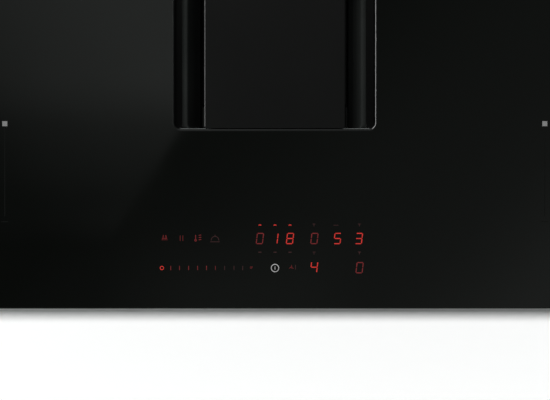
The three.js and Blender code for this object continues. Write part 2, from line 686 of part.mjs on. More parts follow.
// ---------------------------------------------------------------- intake box and sump cover
function intakeBox() {
  const bottom = SCROLL_FLOOR + SEAT;
  const tube = plate(boxOutX, boxOutY, BOX_CORNER, bottom, boxTop);
  const flange = plate(
    boxOutX + BOX_FLANGE, boxOutY + BOX_FLANGE, BOX_CORNER, boxTop - BOX_WALL, boxTop,
  );
  const boreCorner = BOX_CORNER - BOX_WALL;
  const bore = plate(boxInX, boxInY, boreCorner, bottom - BOX_WALL, boxTop + BOX_WALL);
  const ledge = cut(
    plate(boxInX + 1, boxInY + 1, boreCorner, ledgeTop - BOX_WALL, ledgeTop),
    plate(boxInX - LEDGE_WIDTH, boxInY - LEDGE_WIDTH, 1, ledgeTop - 2 * BOX_WALL, boxTop),
  );
  const passage = block(
    boxInX - BOX_WALL, boxOutX + BOX_WALL, -PASSAGE_FRONT_REACH, PASSAGE_REAR_REACH,
    ductBottom + PASSAGE_MARGIN, ledgeTop - BOX_WALL - TRAY_WALL,
  );
  return piece("intake_box", join(cut(join(tube, flange), bore, passage), ledge), BLACK_PLASTIC);
}

function sumpCover() {
  const rimIn = SEAT;
  const rimOut = SEAT + TRAY_WALL;
  const corner = BOX_CORNER + rimOut;
  const floor = plate(boxOutX + rimOut, boxOutY + rimOut, corner, 0, SCROLL_FLOOR);
  const rim = cut(
    plate(boxOutX + rimOut, boxOutY + rimOut, corner, 0, SUMP_RIM),
    plate(boxOutX + rimIn, boxOutY + rimIn, BOX_CORNER + rimIn, -1, SUMP_RIM + 1),
  );
  const half = CLIP_WIDTH / 2;
  const clips = [-1, 1].map((side) => {
    const ends = [side * (boxOutY + rimOut), side * (boxOutY + rimOut + CLIP_REACH)];
    return block(-half, half, Math.min(...ends), Math.max(...ends), 0, SUMP_RIM);
  });
  return piece("sump_cover", join(floor, rim, ...clips), GREY_PLASTIC);
}

// ---------------------------------------------------------------- steel pan under the glass
function casingPan() {
  const [halfX, halfY] = [panHalfX, panHalfY];
  const shell = join(
    plate(halfX, halfY, PAN_CORNER, panBottom, panTop),
    plate(halfX + PAN_FLANGE, halfY + PAN_FLANGE, PAN_CORNER, panTop - PAN_SHEET, panTop),
  );
  const inside = plate(
    halfX - PAN_SHEET, halfY - PAN_SHEET, PAN_CORNER - PAN_SHEET, panBottom + PAN_SHEET, panTop + 1,
  );
  const shaft = plate(boxInX + 1, boxInY + 1, BOX_CORNER, panBottom - 1, panBottom + 2 * PAN_SHEET);
  const slots = [-1, 1].flatMap((side) => [...grilleSlots(side), ...exhaustSlots(side, halfY)]);
  return piece("casing_pan", cut(shell, inside, shaft.translate([0, ventY, 0]), ...slots), ZINC_STEEL);
}

// Slots in the floor under a fan, cut to a round outline.
function grilleSlots(side) {
  const reach = FAN_BORE_RADIUS - GRILLE_MARGIN;
  const [x, z0, z1] = [side * fanX, panBottom - 1, panBottom + 2 * PAN_SHEET];
  const rows = Array.from({ length: 2 * GRILLE_ROWS + 1 }, (_, i) => (i - GRILLE_ROWS) * GRILLE_PITCH);
  return rows.map((row) => {
    const half = Math.sqrt(reach * reach - row * row);
    const y = fanY + row;
    return block(x - half, x + half, y - GRILLE_SLOT / 2, y + GRILLE_SLOT / 2, z0, z1);
  });
}

// Upright slots in the rear wall behind each pair of coils.
function exhaustSlots(side, wallY) {
  const z0 = panFloor + EXHAUST_LIFT;
  const half = EXHAUST_SLOT / 2;
  return Array.from({ length: EXHAUST_SLOTS }, (_, i) => {
    const x = side * (coilX + (i - (EXHAUST_SLOTS - 1) / 2) * EXHAUST_PITCH);
    const reach = 2 * PAN_SHEET;
    return block(x - half, x + half, wallY - reach, wallY + reach, z0, z0 + EXHAUST_HEIGHT);
  });
}

// ---------------------------------------------------------------- induction coils
const windingTop = glassBottom - COIL_GLASS_GAP;
const carrierHigh = windingTop - WINDING_HEIGHT - SEAT;
const coilPlateTop = carrierHigh - COIL_CARRIER_HEIGHT - SEAT;

// The winding lies flat, its turns drawn as ridges from the outside in.
function winding(name) {
  const base = windingTop - WINDING_HEIGHT;
  const pitch = windingBand / WINDING_TURNS;
  const groove = WINDING_GROOVE;
  const corner = (inset) => WINDING_CORNER - 0.4 * inset;
  const section = [[windingBand, base, corner(windingBand)], [0, base, corner(0)]];
  for (let turn = 0; turn < WINDING_TURNS; turn += 1) {
    const start = turn * pitch;
    const end = start + pitch - groove;
    section.push([start, windingTop, corner(start)], [end, windingTop, corner(end)]);
    if (turn < WINDING_TURNS - 1) {
      const low = end + groove / 2;
      section.push([low, windingTop - groove, corner(low)]);
    }
  }
  return piece(name, sweptRing(WINDING_WIDTH / 2, windingLength / 2, section, 3), COPPER);
}

// The plastic carrier with its ferrite bars underneath the winding and the sensor boss in its middle.
function coilCarrier(name) {
  const halfX = WINDING_WIDTH / 2 + COIL_MARGIN;
  const halfY = windingLength / 2 + COIL_MARGIN;
  const low = carrierHigh - COIL_CARRIER_HEIGHT;
  const deck = plate(halfX, halfY, COIL_CORNER, low, carrierHigh);
  const boss = cylinder(SENSOR_RADIUS, low, windingTop, 0, 0, 16);
  const windows = [-1, 1].flatMap((sx) => [-1, 1].map((sy) => {
    const [x, y] = [sx * halfX * COIL_WINDOW_PLACE, sy * halfY * COIL_WINDOW_PLACE];
    const [wx, wy] = [COIL_WINDOW_X / 2, COIL_WINDOW_Y / 2];
    return block(x - wx, x + wx, y - wy, y + wy, low - 1, carrierHigh + 1);
  }));
  return piece(name, join(cut(deck, ...windows), boss), FERRITE);
}

// The aluminium plate that carries a front and a rear coil, on four folded legs.
function coilPlate(name) {
  const halfX = WINDING_WIDTH / 2 + COIL_MARGIN + COIL_PLATE_MARGIN;
  const halfY = (coilPitch + windingLength) / 2 + COIL_MARGIN + COIL_PLATE_MARGIN;
  const low = coilPlateTop - COIL_PLATE_SHEET;
  const deck = plate(halfX, halfY, COIL_PLATE_CORNER, low, coilPlateTop);
  const holes = [-1, 1].map((side) => (
    cylinder(COIL_PLATE_HOLE, low - 1, coilPlateTop + 1, 0, (side * coilPitch) / 2, 16)
  ));
  const legs = [-1, 1].flatMap((sx) => [-1, 1].map((sy) => {
    const [x, y] = [sx * (halfX - COIL_PLATE_SHEET), sy * (halfY - COIL_LEG_INSET)];
    const [half, halfLeg] = [COIL_PLATE_SHEET / 2, COIL_LEG_WIDTH / 2];
    return block(x - half, x + half, y - halfLeg, y + halfLeg, panFloor, low + half);
  }));
  return piece(name, join(cut(deck, ...holes), ...legs), ALUMINIUM);
}

// ---------------------------------------------------------------- power electronics and their fans
function powerBoard(name) {
  const low = panFloor + BOARD_POST_HEIGHT;
  const high = low + BOARD_THICKNESS;
  const halfX = BOARD_WIDTH / 2;
  const halfY = BOARD_LENGTH / 2;
  const sink = BOARD_THICKNESS / 2; // how deep the parts are let into the board, to be one solid
  const [postX, postY] = [halfX - BOARD_POST_INSET, halfY - BOARD_POST_INSET];
  const posts = [-1, 1].flatMap((sx) => [-1, 1].map((sy) => (
    cylinder(BOARD_POST_RADIUS, panFloor, low + sink, sx * postX, sy * postY, 10)
  )));
  const x = halfX - BOARD_PARTS_INSET;
  const capacitors = [1, 2].map((i) => (
    cylinder(
      CAPACITOR_RADIUS, high - sink, high + CAPACITOR_HEIGHT, x, -halfY + 2.5 * i * CAPACITOR_RADIUS, 16,
    )
  ));
  const parts = [
    [FILM_CAPACITOR_WIDTH, FILM_CAPACITOR_LENGTH, FILM_CAPACITOR_HEIGHT],
    [CHOKE_WIDTH, CHOKE_LENGTH, CHOKE_HEIGHT],
    [RELAY_WIDTH, RELAY_LENGTH, RELAY_HEIGHT],
  ];
  let y = -halfY + BOARD_PARTS_START;
  const blocks = parts.map(([width, length, height]) => {
    const made = block(x - width / 2, x + width / 2, y, y + length, high - sink, high + height);
    y += length + BOARD_PARTS_GAP;
    return made;
  });
  const deck = block(-halfX, halfX, -halfY, halfY, low, high);
  return piece(name, join(deck, ...posts, ...capacitors, ...blocks), GREEN_BOARD);
}

const sinkBottom = panFloor + BOARD_POST_HEIGHT + BOARD_THICKNESS + SEAT;
function heatSink(name) {
  const halfX = SINK_WIDTH / 2;
  const halfY = SINK_LENGTH / 2;
  const base = block(-halfX, halfX, -halfY, halfY, sinkBottom, sinkBottom + SINK_BASE);
  const pitch = (SINK_WIDTH - SINK_FIN) / (SINK_FINS - 1);
  const fins = Array.from({ length: SINK_FINS }, (_, i) => {
    const x = -halfX + i * pitch;
    const z0 = sinkBottom + SINK_BASE / 2;
    return block(x, x + SINK_FIN, -halfY, halfY, z0, sinkBottom + SINK_HEIGHT);
  });
  return piece(name, join(base, ...fins), ALUMINIUM);
}

function fanFrame(name) {
  const half = FAN_SIZE / 2;
  const low = panFloor;
  const high = low + FAN_HEIGHT;
  const shell = cut(
    plate(half, half, FAN_CORNER, low, high),
    cylinder(FAN_BORE_RADIUS, low - 1, high + 1),
  );
  const armTop = low + FAN_ARM_HEIGHT;
  const bearing = cylinder(FAN_HUB_RADIUS - 2, low, armTop, 0, 0, 16);
  const reach = FAN_BORE_RADIUS + FAN_ARM_WIDTH / 2;
  const arms = [0, 60, 120].map((angle) => (
    block(-reach, reach, -FAN_ARM_WIDTH / 2, FAN_ARM_WIDTH / 2, low, armTop).rotate([0, 0, angle])
  ));
  return piece(name, join(shell, bearing, ...arms), BLACK_PLASTIC);
}

// The hub with its blades, pitched flat plates, clear of the frame's bore and arms.
function fanRotor(name) {
  const low = panFloor + FAN_ARM_HEIGHT + FAN_GAP;
  const high = panFloor + FAN_HEIGHT - FAN_GAP;
  const hub = cylinder(FAN_HUB_RADIUS, low, high, 0, 0, 16);
  const middle = (low + high) / 2;
  const reach = FAN_BORE_RADIUS - 2 * FAN_GAP;
  const [chord, thick] = [FAN_BLADE_CHORD / 2, FAN_BLADE_THICKNESS / 2];
  const blades = Array.from({ length: FAN_BLADES }, (_, i) => {
    const flat = block(FAN_HUB_RADIUS - 2, reach, -chord, chord, -thick, thick);
    const turned = flat.rotate([FAN_BLADE_PITCH, 0, 0]).translate([0, 0, middle]);
    return turned.rotate([0, 0, (360 / FAN_BLADES) * i]);
  });
  const limit = cylinder(reach, low, high, 0, 0, 24);
  return piece(name, join(hub, ...blades).intersect(limit), BLACK_PLASTIC);
}

// ---------------------------------------------------------------- touch control and its displays
const displayTop = glassBottom - SEAT;
const displayBottom = displayTop - DISPLAY_HEIGHT;
const displayBoardLow = displayBottom + DISPLAY_WALL + SEAT;
const displayBoardHigh = displayBoardLow + BOARD_THICKNESS;

function displayHolder() {
  const halfX = DISPLAY_WIDTH / 2;
  const halfY = DISPLAY_LENGTH / 2;
  const tray = cut(
    plate(halfX, halfY, DISPLAY_CORNER, displayBottom, displayTop),
    plate(
      halfX - DISPLAY_WALL, halfY - DISPLAY_WALL, DISPLAY_CORNER - DISPLAY_WALL,
      displayBottom + DISPLAY_WALL, displayTop + 1,
    ),
  );
  const [legX, legY] = [DISPLAY_LEG_WIDTH / 2, DISPLAY_LEG_LENGTH / 2];
  const legs = [-1, 1].map((side) => {
    const x = side * (halfX - DISPLAY_LEG_INSET);
    return block(x - legX, x + legX, -legY, legY, panFloor, displayBottom + DISPLAY_WALL / 2);
  });
  return piece("display_holder", join(tray, ...legs), WHITE_PLASTIC);
}

function displayBoard() {
  const halfX = DISPLAY_WIDTH / 2 - DISPLAY_WALL - SLIP - SEAT;
  const halfY = DISPLAY_LENGTH / 2 - DISPLAY_WALL - SLIP - SEAT;
  const made = block(-halfX, halfX, -halfY, halfY, displayBoardLow, displayBoardHigh);
  return piece("display_board", made, GREEN_BOARD);
}

// A block of digits, on pins that lift it to the glass.
function digitBlock(name, [x0, x1, y0, y1]) {
  const low = displayTop - SEAT - DIGIT_BLOCK_HEIGHT;
  const body = block(x0, x1, y0, y1, low, displayTop - SEAT);
  const inset = DIGIT_PIN_INSET;
  const pins = block(
    x0 + inset, x1 - inset, y0 + inset, y1 - inset, displayBoardHigh + SEAT, low + 1,
  );
  return piece(name, join(body, pins), DISPLAY_RED);
}

// ---------------------------------------------------------------- blower
const scrollTop = SCROLL_HEIGHT - SCROLL_WALL - SEAT; // top of the walls, under the lid
const outletY = outletEnd - SPIGOT_LENGTH - SPIGOT_FLANGE - blowerY - SEAT;

// The outline of the scroll's inside, or of its outside when grown by the wall, about the blower's axis:
// a spiral from the tongue round to the outlet, whose left side slants back to the tongue.
function scrollPrism(grow, z0, z1, extra) {
  const start = IMPELLER_RADIUS + TONGUE_GAP;
  const right = start + SCROLL_GROWTH;
  const left = right - OUTLET_WIDTH;
  const slantTop = outletY - OUTLET_STRAIGHT;
  const steps = 28;
  const spiralPoint = (i) => {
    const angle = ((TONGUE_ANGLE + (i / steps) * (360 - TONGUE_ANGLE)) * Math.PI) / 180;
    const radius = start + (SCROLL_GROWTH * i) / steps + grow;
    return new THREE.Vector2(radius * Math.cos(angle), radius * Math.sin(angle));
  };
  const tongue = spiralPoint(0).setLength(start);
  const along = new THREE.Vector2(left, slantTop).sub(tongue).normalize();
  const out = new THREE.Vector2(-along.y, along.x);
  const onSlant = tongue.clone().addScaledVector(out, grow);
  const beyond = (point) => point.clone().sub(onSlant).dot(out);
  // Grown, the spiral starts where it crosses the grown slant.
  let first = 0;
  while (beyond(spiralPoint(first)) < -1e-6) first += 1;
  const points = [];
  if (first > 0) {
    const [before, after] = [spiralPoint(first - 1), spiralPoint(first)];
    points.push(before.lerp(after, beyond(before) / (beyond(before) - beyond(after))));
  }
  for (let i = first; i <= steps; i += 1) points.push(spiralPoint(i));
  const run = (left - grow - onSlant.x) / along.x;
  points.push(
    new THREE.Vector2(right + grow, outletY + extra),
    new THREE.Vector2(left - grow, outletY + extra),
    new THREE.Vector2(left - grow, onSlant.y + run * along.y),
  );
  return prism(new THREE.Shape(points), z0, z1);
}

function scrollHousing() {
  const outer = scrollPrism(SCROLL_WALL, 0, scrollTop, 0);
  const inner = scrollPrism(0, SCROLL_FLOOR, scrollTop + SCROLL_WALL, OUTLET_STRAIGHT / 2);
  return piece("scroll_housing", cut(outer, inner), BLACK_PLASTIC);
}

function scrollLid() {
  const lid = scrollPrism(SCROLL_WALL, SCROLL_HEIGHT - SCROLL_WALL, SCROLL_HEIGHT, 0);
  const eye = cylinder(EYE_RADIUS + EYE_LIP_GAP, 0, SCROLL_HEIGHT + 1, 0, 0, 32);
  return piece("scroll_lid", cut(lid, eye), BLACK_PLASTIC);
}

// The bell mouth that hangs in the lid's hole; its lip lies on the lid.
function inletRing() {
  const low = SCROLL_HEIGHT - INLET_REACH;
  const seat = SCROLL_HEIGHT + SEAT;
  const r = EYE_RADIUS;
  const wall = SCROLL_WALL;
  const out = r + INLET_REACH;
  const section = [
    [r, low], [r, SCROLL_HEIGHT - wall], [r + wall / 2, seat + wall], [r + 2 * wall, seat + 1.8 * wall],
    [out, seat + 2 * wall], [out, seat], [r + wall, seat], [r + wall, low],
  ];
  return piece("inlet_ring", turned(section), GREY_PLASTIC);
}

const impellerLow = SCROLL_FLOOR + IMPELLER_LIFT;
const impellerHigh = impellerLow + IMPELLER_HEIGHT;
const domeTop = SCROLL_FLOOR + SEAT + MOTOR_HEIGHT + DOME_CLEARANCE;
const hubTop = domeTop + HUB_HEIGHT;

// A forward-curved drum: a back plate with a dome over the motor, the blades and a shroud ring.
function impeller() {
  const sheet = IMPELLER_SHEET;
  const bladeIn = IMPELLER_RADIUS - IMPELLER_BAND;
  const domeIn = MOTOR_RADIUS + DOME_GAP;
  const bore = SHAFT_RADIUS + SHAFT_GAP;
  const plateTop = impellerLow + sheet;
  const backPlate = turned([
    [bore, domeTop - sheet], [domeIn - sheet, domeTop - sheet], [domeIn, domeTop - 2 * sheet],
    [domeIn, impellerLow], [IMPELLER_RADIUS, impellerLow], [IMPELLER_RADIUS, plateTop],
    [domeIn + sheet, plateTop], [domeIn + sheet, domeTop - 1.5 * sheet], [domeIn - sheet / 2, domeTop],
    [bore + 2 * sheet, domeTop], [bore + 1.5 * sheet, hubTop], [bore, hubTop],
  ], 28);
  const shroud = turned([
    [bladeIn, impellerHigh - sheet], [IMPELLER_RADIUS, impellerHigh - sheet],
    [IMPELLER_RADIUS, impellerHigh], [bladeIn, impellerHigh],
  ], 28);
  const middle = IMPELLER_RADIUS - IMPELLER_BAND / 2 - 1;
  const [chord, thick] = [IMPELLER_BAND / 2 - 0.5, IMPELLER_BLADE / 2];
  const blades = Array.from({ length: IMPELLER_BLADES }, (_, i) => (
    block(-chord, chord, -thick, thick, plateTop - sheet / 4, impellerHigh - 0.75 * sheet)
      .rotate([0, 0, IMPELLER_BLADE_ANGLE])
      .translate([middle, 0, 0])
      .rotate([0, 0, (360 / IMPELLER_BLADES) * i])
  ));
  return piece("impeller", join(backPlate, shroud, ...blades), GREY_PLASTIC);
}

function motorBody() {
  const low = SCROLL_FLOOR + SEAT;
  const top = low + MOTOR_HEIGHT;
  const flange = cylinder(MOTOR_RADIUS, low, low + MOTOR_FLANGE_HEIGHT, 0, 0, 24);
  const body = cylinder(MOTOR_RADIUS - MOTOR_FLANGE_WIDTH, low, top, 0, 0, 24);
  const bore = cylinder(SHAFT_RADIUS + SHAFT_GAP, low + SHAFT_DEPTH, top + 1, 0, 0, 16);
  return piece("motor_body", cut(join(flange, body), bore), ZINC_STEEL);
}

// The shaft with the nut that holds the impeller on.
function motorShaft() {
  const low = SCROLL_FLOOR + SEAT + SHAFT_DEPTH + SLIP;
  const nutTop = hubTop + SEAT + HUB_HEIGHT;
  const shaft = cylinder(SHAFT_RADIUS, low, nutTop + 2, 0, 0, 16);
  const nut = cylinder(NUT_RADIUS, hubTop + SEAT, nutTop, 0, 0, 6);
  return piece("motor_shaft", join(shaft, nut), ZINC_STEEL);
}

// ---------------------------------------------------------------- air duct between box and blower
function ductOutline(grow) {
  const left = boxOutX + SEAT - grow;
  const [x1, y0, y1] = [ductRight + grow, ductFront - grow, ductRear + grow];
  const r = DUCT_CORNER + grow;
  const shape = new THREE.Shape();
  shape.moveTo(left, y0);
  shape.lineTo(x1 - r, y0);
  shape.absarc(x1 - r, y0 + r, r, -Math.PI / 2, 0, false);
  shape.absarc(x1 - r, y1 - r, r, 0, Math.PI / 2, false);
  shape.lineTo(left, y1);
  return shape;
}

function ductBase() {
  const top = ductTop - DUCT_WALL - SEAT;
  const outer = prism(ductOutline(0), ductBottom, top, 4);
  const inner = prism(ductOutline(-DUCT_WALL), ductBottom + DUCT_WALL, top + 1, 4);
  const mouth = block(
    boxOutX - 1, boxOutX + 2 * DUCT_WALL,
    ventY - PASSAGE_FRONT_REACH - DUCT_WALL, ventY + PASSAGE_REAR_REACH + DUCT_WALL,
    ductBottom + DUCT_WALL, top + 1,
  );
  const eye = EYE_RADIUS + EYE_DUCT_GAP;
  const hole = cylinder(eye, ductBottom - 1, ductBottom + 2 * DUCT_WALL, blowerX, blowerY, 32);
  return piece("duct_base", cut(outer, inner, mouth, hole), BLACK_PLASTIC);
}

function ductCover() {
  const made = prism(ductOutline(0), ductTop - DUCT_WALL, ductTop, 4);
  return piece("duct_cover", made, BLACK_PLASTIC);
}

// ---------------------------------------------------------------- outlet spigot and its two flaps
const spigotX = blowerX + IMPELLER_RADIUS + TONGUE_GAP + SCROLL_GROWTH - OUTLET_WIDTH / 2;
const spigotY0 = outletEnd - SPIGOT_LENGTH;
const spigotMiddle = SCROLL_HEIGHT / 2;
const flapY = spigotY0 + DAMPER_SET_BACK;
const flapPitch = (SPIGOT_HEIGHT - 2 * SCROLL_WALL) / 2;
const flapPins = [1, 0].map((row) => (
  spigotMiddle + row * flapPitch - 2 * DAMPER_PIN_RADIUS
)); // heights of the two hinges

function outletSpigot() {
  const halfX = SPIGOT_WIDTH / 2;
  const [z0, z1] = [spigotMiddle - SPIGOT_HEIGHT / 2, spigotMiddle + SPIGOT_HEIGHT / 2];
  const flangeHalf = OUTLET_WIDTH / 2 + SCROLL_WALL;
  const flange = block(
    -flangeHalf, flangeHalf, spigotY0 - SPIGOT_FLANGE, spigotY0, 0, SCROLL_HEIGHT,
  );
  const tube = block(-halfX, halfX, spigotY0 - 1, outletEnd, z0, z1);
  const w = SCROLL_WALL;
  const bore = block(
    -halfX + w, halfX - w, spigotY0 - SPIGOT_FLANGE - 1, outletEnd + 1, z0 + w, z1 - w,
  );
  const holes = flapPins.map((z) => (
    barX(DAMPER_PIN_RADIUS + DAMPER_PIN_GAP, -halfX - 1, halfX + 1, flapY, z, 16)
  ));
  return piece("outlet_spigot", cut(join(flange, tube), bore, ...holes), BLACK_PLASTIC);
}

// A flap that hangs from its two pins and is blown open.
function damperFlap(name, pinZ) {
  const halfX = SPIGOT_WIDTH / 2 - SCROLL_WALL - DAMPER_SIDE_GAP;
  const low = pinZ - flapPitch + 2 * (DAMPER_PIN_RADIUS + DAMPER_SIDE_GAP);
  const sheet = block(
    -halfX, halfX, flapY - DAMPER_THICKNESS / 2, flapY + DAMPER_THICKNESS / 2, low, pinZ,
  );
  const reach = SPIGOT_WIDTH / 2 - 0.25;
  const pin = barX(DAMPER_PIN_RADIUS, -reach, reach, flapY, pinZ, 12);
  return piece(name, join(sheet, pin), GREY_PLASTIC);
}

// ---------------------------------------------------------------- mains connection
const terminalTop = panBottom - SEAT;
const terminalLow = terminalTop - TERMINAL_HEIGHT;
const terminalX = -(panHalfX - TERMINAL_SIDE_INSET - TERMINAL_WIDTH / 2);
const terminalY = panHalfY - TERMINAL_REAR_INSET - TERMINAL_LENGTH / 2;

function terminalBox() {
  const halfX = TERMINAL_WIDTH / 2;
  const halfY = TERMINAL_LENGTH / 2;
  const w = TERMINAL_WALL;
  const outer = plate(halfX, halfY, TERMINAL_CORNER, terminalLow + w + SEAT, terminalTop);
  const inner = plate(halfX - w, halfY - w, TERMINAL_CORNER - w, terminalLow, terminalTop - w);
  const entry = barY(GLAND_RADIUS, halfY - 2 * w, halfY + w, 0, terminalLow + TERMINAL_HEIGHT / 2);
  return piece("terminal_box", cut(outer, inner, entry), BLACK_PLASTIC);
}

function terminalLid() {
  const made = plate(
    TERMINAL_WIDTH / 2, TERMINAL_LENGTH / 2, TERMINAL_CORNER, terminalLow, terminalLow + TERMINAL_WALL,
  );
  return piece("terminal_lid", made, BLACK_PLASTIC);
}

function terminalBlock() {
  const top = terminalTop - TERMINAL_WALL - SEAT;
  const bottom = top - TERMINAL_BLOCK_HEIGHT;
  const [halfX, halfY] = [TERMINAL_BLOCK_WIDTH / 2, TERMINAL_BLOCK_LENGTH / 2];
  const body = block(-halfX, halfX, -halfY, halfY, bottom, top);
  const screws = Array.from({ length: TERMINAL_SCREWS }, (_, i) => {
    const x = (i - (TERMINAL_SCREWS - 1) / 2) * TERMINAL_SCREW_PITCH;
    return cylinder(TERMINAL_SCREW_RADIUS, bottom - 1, bottom + TERMINAL_SCREW_RADIUS, x, 0, 10);
  });
  return piece("terminal_block", cut(body, ...screws), WHITE_PLASTIC);
}

// The gland that a mains lead goes in through: a sleeve in the wall with a collar outside it.
function cableGland() {
  const wallY = TERMINAL_LENGTH / 2;
  const z = terminalLow + TERMINAL_HEIGHT / 2;
  const end = wallY + GLAND_SLEEVE;
  const start = wallY - 2 * TERMINAL_WALL;
  const sleeve = barY(GLAND_RADIUS - SEAT, start, end, 0, z);
  const collar = barY(
    GLAND_RADIUS + GLAND_COLLAR_WIDTH, wallY + SEAT, wallY + GLAND_COLLAR, 0, z, 6,
  );
  const bore = barY(GLAND_BORE, start - 1, end + 1, 0, z);
  return piece("cable_gland", cut(join(sleeve, collar), bore), GREY_PLASTIC);
}

// ---------------------------------------------------------------- worktop clamps
const tabLow = panBottom + CLAMP_LIFT;
const tipLow = tabLow + CLAMP_SHEET + SCREW_GAP;
const screwX = CLAMP_REACH - 1.5 * SCREW_TIP_RADIUS;

// Drawn for the right side, with the pan's wall at x = 0; the left side's are turned by half a turn.
function clampBracket(name) {
  const half = CLAMP_WIDTH / 2;
  const leg = block(SEAT, SEAT + CLAMP_SHEET, -half, half, tabLow, tabLow + CLAMP_HEIGHT);
  const tab = block(SEAT, CLAMP_REACH, -half, half, tabLow, tabLow + CLAMP_SHEET);
  const hole = cylinder(
    SCREW_RADIUS + SHAFT_GAP, tabLow - 1, tabLow + 2 * CLAMP_SHEET, screwX, 0, 16,
  );
  return piece(name, cut(join(leg, tab), hole), ZINC_STEEL);
}

function clampScrew(name) {
  const headTop = tabLow - SCREW_TRAVEL - SCREW_GAP;
  const headLow = headTop - SCREW_HEAD_HEIGHT;
  const shaft = cylinder(SCREW_RADIUS, headTop - 1, tipLow + 1, screwX, 0, 12);
  const head = cylinder(SCREW_HEAD_RADIUS, headLow, headTop, screwX, 0, 6);
  const tip = cylinder(SCREW_TIP_RADIUS, tipLow, tipLow + SCREW_TIP_HEIGHT, screwX, 0, 12);
  return piece(name, join(shaft, head, tip), ZINC_STEEL);
}

// ---------------------------------------------------------------- assembly
const cooktop = new THREE.Group();
cooktop.add(glassPanel(), rimSeal(), casingPan(), ductBase(), ductCover());

cooktop.add(placed(0, ventY, 0, ventTrim(), ventCollar(), intakeBox(), sumpCover()));
cooktop.add(placed(
  0, ventY, 0, coverPanel(), coverCarrier(), coverPad("cover_pad_front", -1),
  coverPad("cover_pad_rear", 1),
));
cooktop.add(placed(0, ventY, 0, filterFrame(), filterMesh(), filterHandle(), dripTray()));

for (const [side, sign] of [["left", -1], ["right", 1]]) {
  for (const [row, y] of [["front", coilFrontY], ["rear", coilRearY]]) {
    const zone = `${row}_${side}`;
    cooktop.add(placed(
      sign * coilX, y, 0, winding(`winding_${zone}`), coilCarrier(`coil_carrier_${zone}`),
    ));
  }
  const middle = (coilFrontY + coilRearY) / 2;
  cooktop.add(placed(sign * coilX, middle, 0, coilPlate(`coil_plate_${side}`)));
  cooktop.add(placed(
    sign * coilX, glassFront + BOARD_SETBACK, 0, powerBoard(`power_board_${side}`),
    heatSink(`heat_sink_${side}`),
  ));
  cooktop.add(placed(
    sign * fanX, fanY, 0, fanFrame(`fan_frame_${side}`), fanRotor(`fan_rotor_${side}`),
  ));
  for (const [row, y] of [["front", -CLAMP_Y], ["rear", CLAMP_Y]]) {
    const clamp = placed(
      sign * panHalfX, y, 0, clampBracket(`clamp_bracket_${row}_${side}`),
      clampScrew(`clamp_screw_${row}_${side}`),
    );
    clamp.rotation.z = sign > 0 ? 0 : Math.PI;
    cooktop.add(clamp);
  }
}

cooktop.add(placed(
  -DISPLAY_SHIFT, glassFront + DISPLAY_SETBACK, 0, displayHolder(), displayBoard(),
  digitBlock("timer_display", TIMER_AREA), digitBlock("zone_display", ZONE_AREA),
));
cooktop.add(placed(
  blowerX, blowerY, 0, scrollHousing(), scrollLid(), inletRing(), impeller(), motorBody(),
  motorShaft(),
));
cooktop.add(placed(
  spigotX, 0, 0, outletSpigot(), damperFlap("damper_upper", flapPins[0]),
  damperFlap("damper_lower", flapPins[1]),
));
cooktop.add(placed(
  terminalX, terminalY, 0, terminalBox(), terminalLid(), terminalBlock(), cableGland(),
));

export default cooktop;
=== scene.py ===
# %% [markdown]
# # A downdraft induction hob
# The hob is one flat sheet of black glass with an opening in its middle. Under the glass hang the coils,
# the blower and its ducts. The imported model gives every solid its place, and this file dresses them:
# where a solid's form is right it only gets a finish, and where the eye wants more it is made again.

# %% Load the frame
import json
import math
import bmesh
import bpy
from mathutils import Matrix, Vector


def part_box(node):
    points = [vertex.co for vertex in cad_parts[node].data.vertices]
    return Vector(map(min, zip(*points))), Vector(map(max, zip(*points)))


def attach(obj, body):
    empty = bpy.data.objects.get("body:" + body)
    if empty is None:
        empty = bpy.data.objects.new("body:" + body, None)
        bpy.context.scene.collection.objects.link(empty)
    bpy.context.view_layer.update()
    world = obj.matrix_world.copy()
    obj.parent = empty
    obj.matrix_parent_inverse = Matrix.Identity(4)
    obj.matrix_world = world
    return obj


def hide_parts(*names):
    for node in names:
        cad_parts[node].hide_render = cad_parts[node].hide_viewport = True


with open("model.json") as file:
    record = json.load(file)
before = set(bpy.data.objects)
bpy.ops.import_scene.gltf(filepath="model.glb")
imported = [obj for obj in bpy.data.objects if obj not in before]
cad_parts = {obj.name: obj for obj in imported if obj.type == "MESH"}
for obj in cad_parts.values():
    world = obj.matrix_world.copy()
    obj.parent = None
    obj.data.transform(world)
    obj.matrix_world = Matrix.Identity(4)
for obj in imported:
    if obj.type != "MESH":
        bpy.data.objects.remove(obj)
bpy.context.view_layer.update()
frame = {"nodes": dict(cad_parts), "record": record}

MM = 0.001  # Blender works in metres, and this object is easier to think of in millimetres
NODES = frame["nodes"]
RECORD = frame["record"]
BODY_OF = {node: body for body, nodes in RECORD["behaviour"]["bodies"].items() for node in nodes}
SLOT_OF = {part["node"]: part["material_slot"] for part in RECORD["subparts"]}


def box_mm(node):
    """A node's lowest and highest corner at rest, in millimetres."""
    low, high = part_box(node)
    return [v / MM for v in low], [v / MM for v in high]


# %% [markdown]
# ## Colours, nodes and finishes
# Colours are written as sRGB hex, as a paint chart gives them, and one function turns them into the
# linear values that the shader wants. Most finishes here are one idea at different sizes: a slow
# change of tone, a finer change of gloss, and a relief of a real depth. So one function makes them.

# %% Colour and node helpers
def linear(text):
    """An sRGB hex colour as linear red, green, blue and alpha."""
    channels = [int(text[i:i + 2], 16) / 255 for i in (1, 3, 5)]
    return [c / 12.92 if c <= 0.04045 else ((c + 0.055) / 1.055) ** 2.4 for c in channels] + [1.0]


NOISE_SPAN = (0.3, 0.7)  # most of a noise node's values lie between these


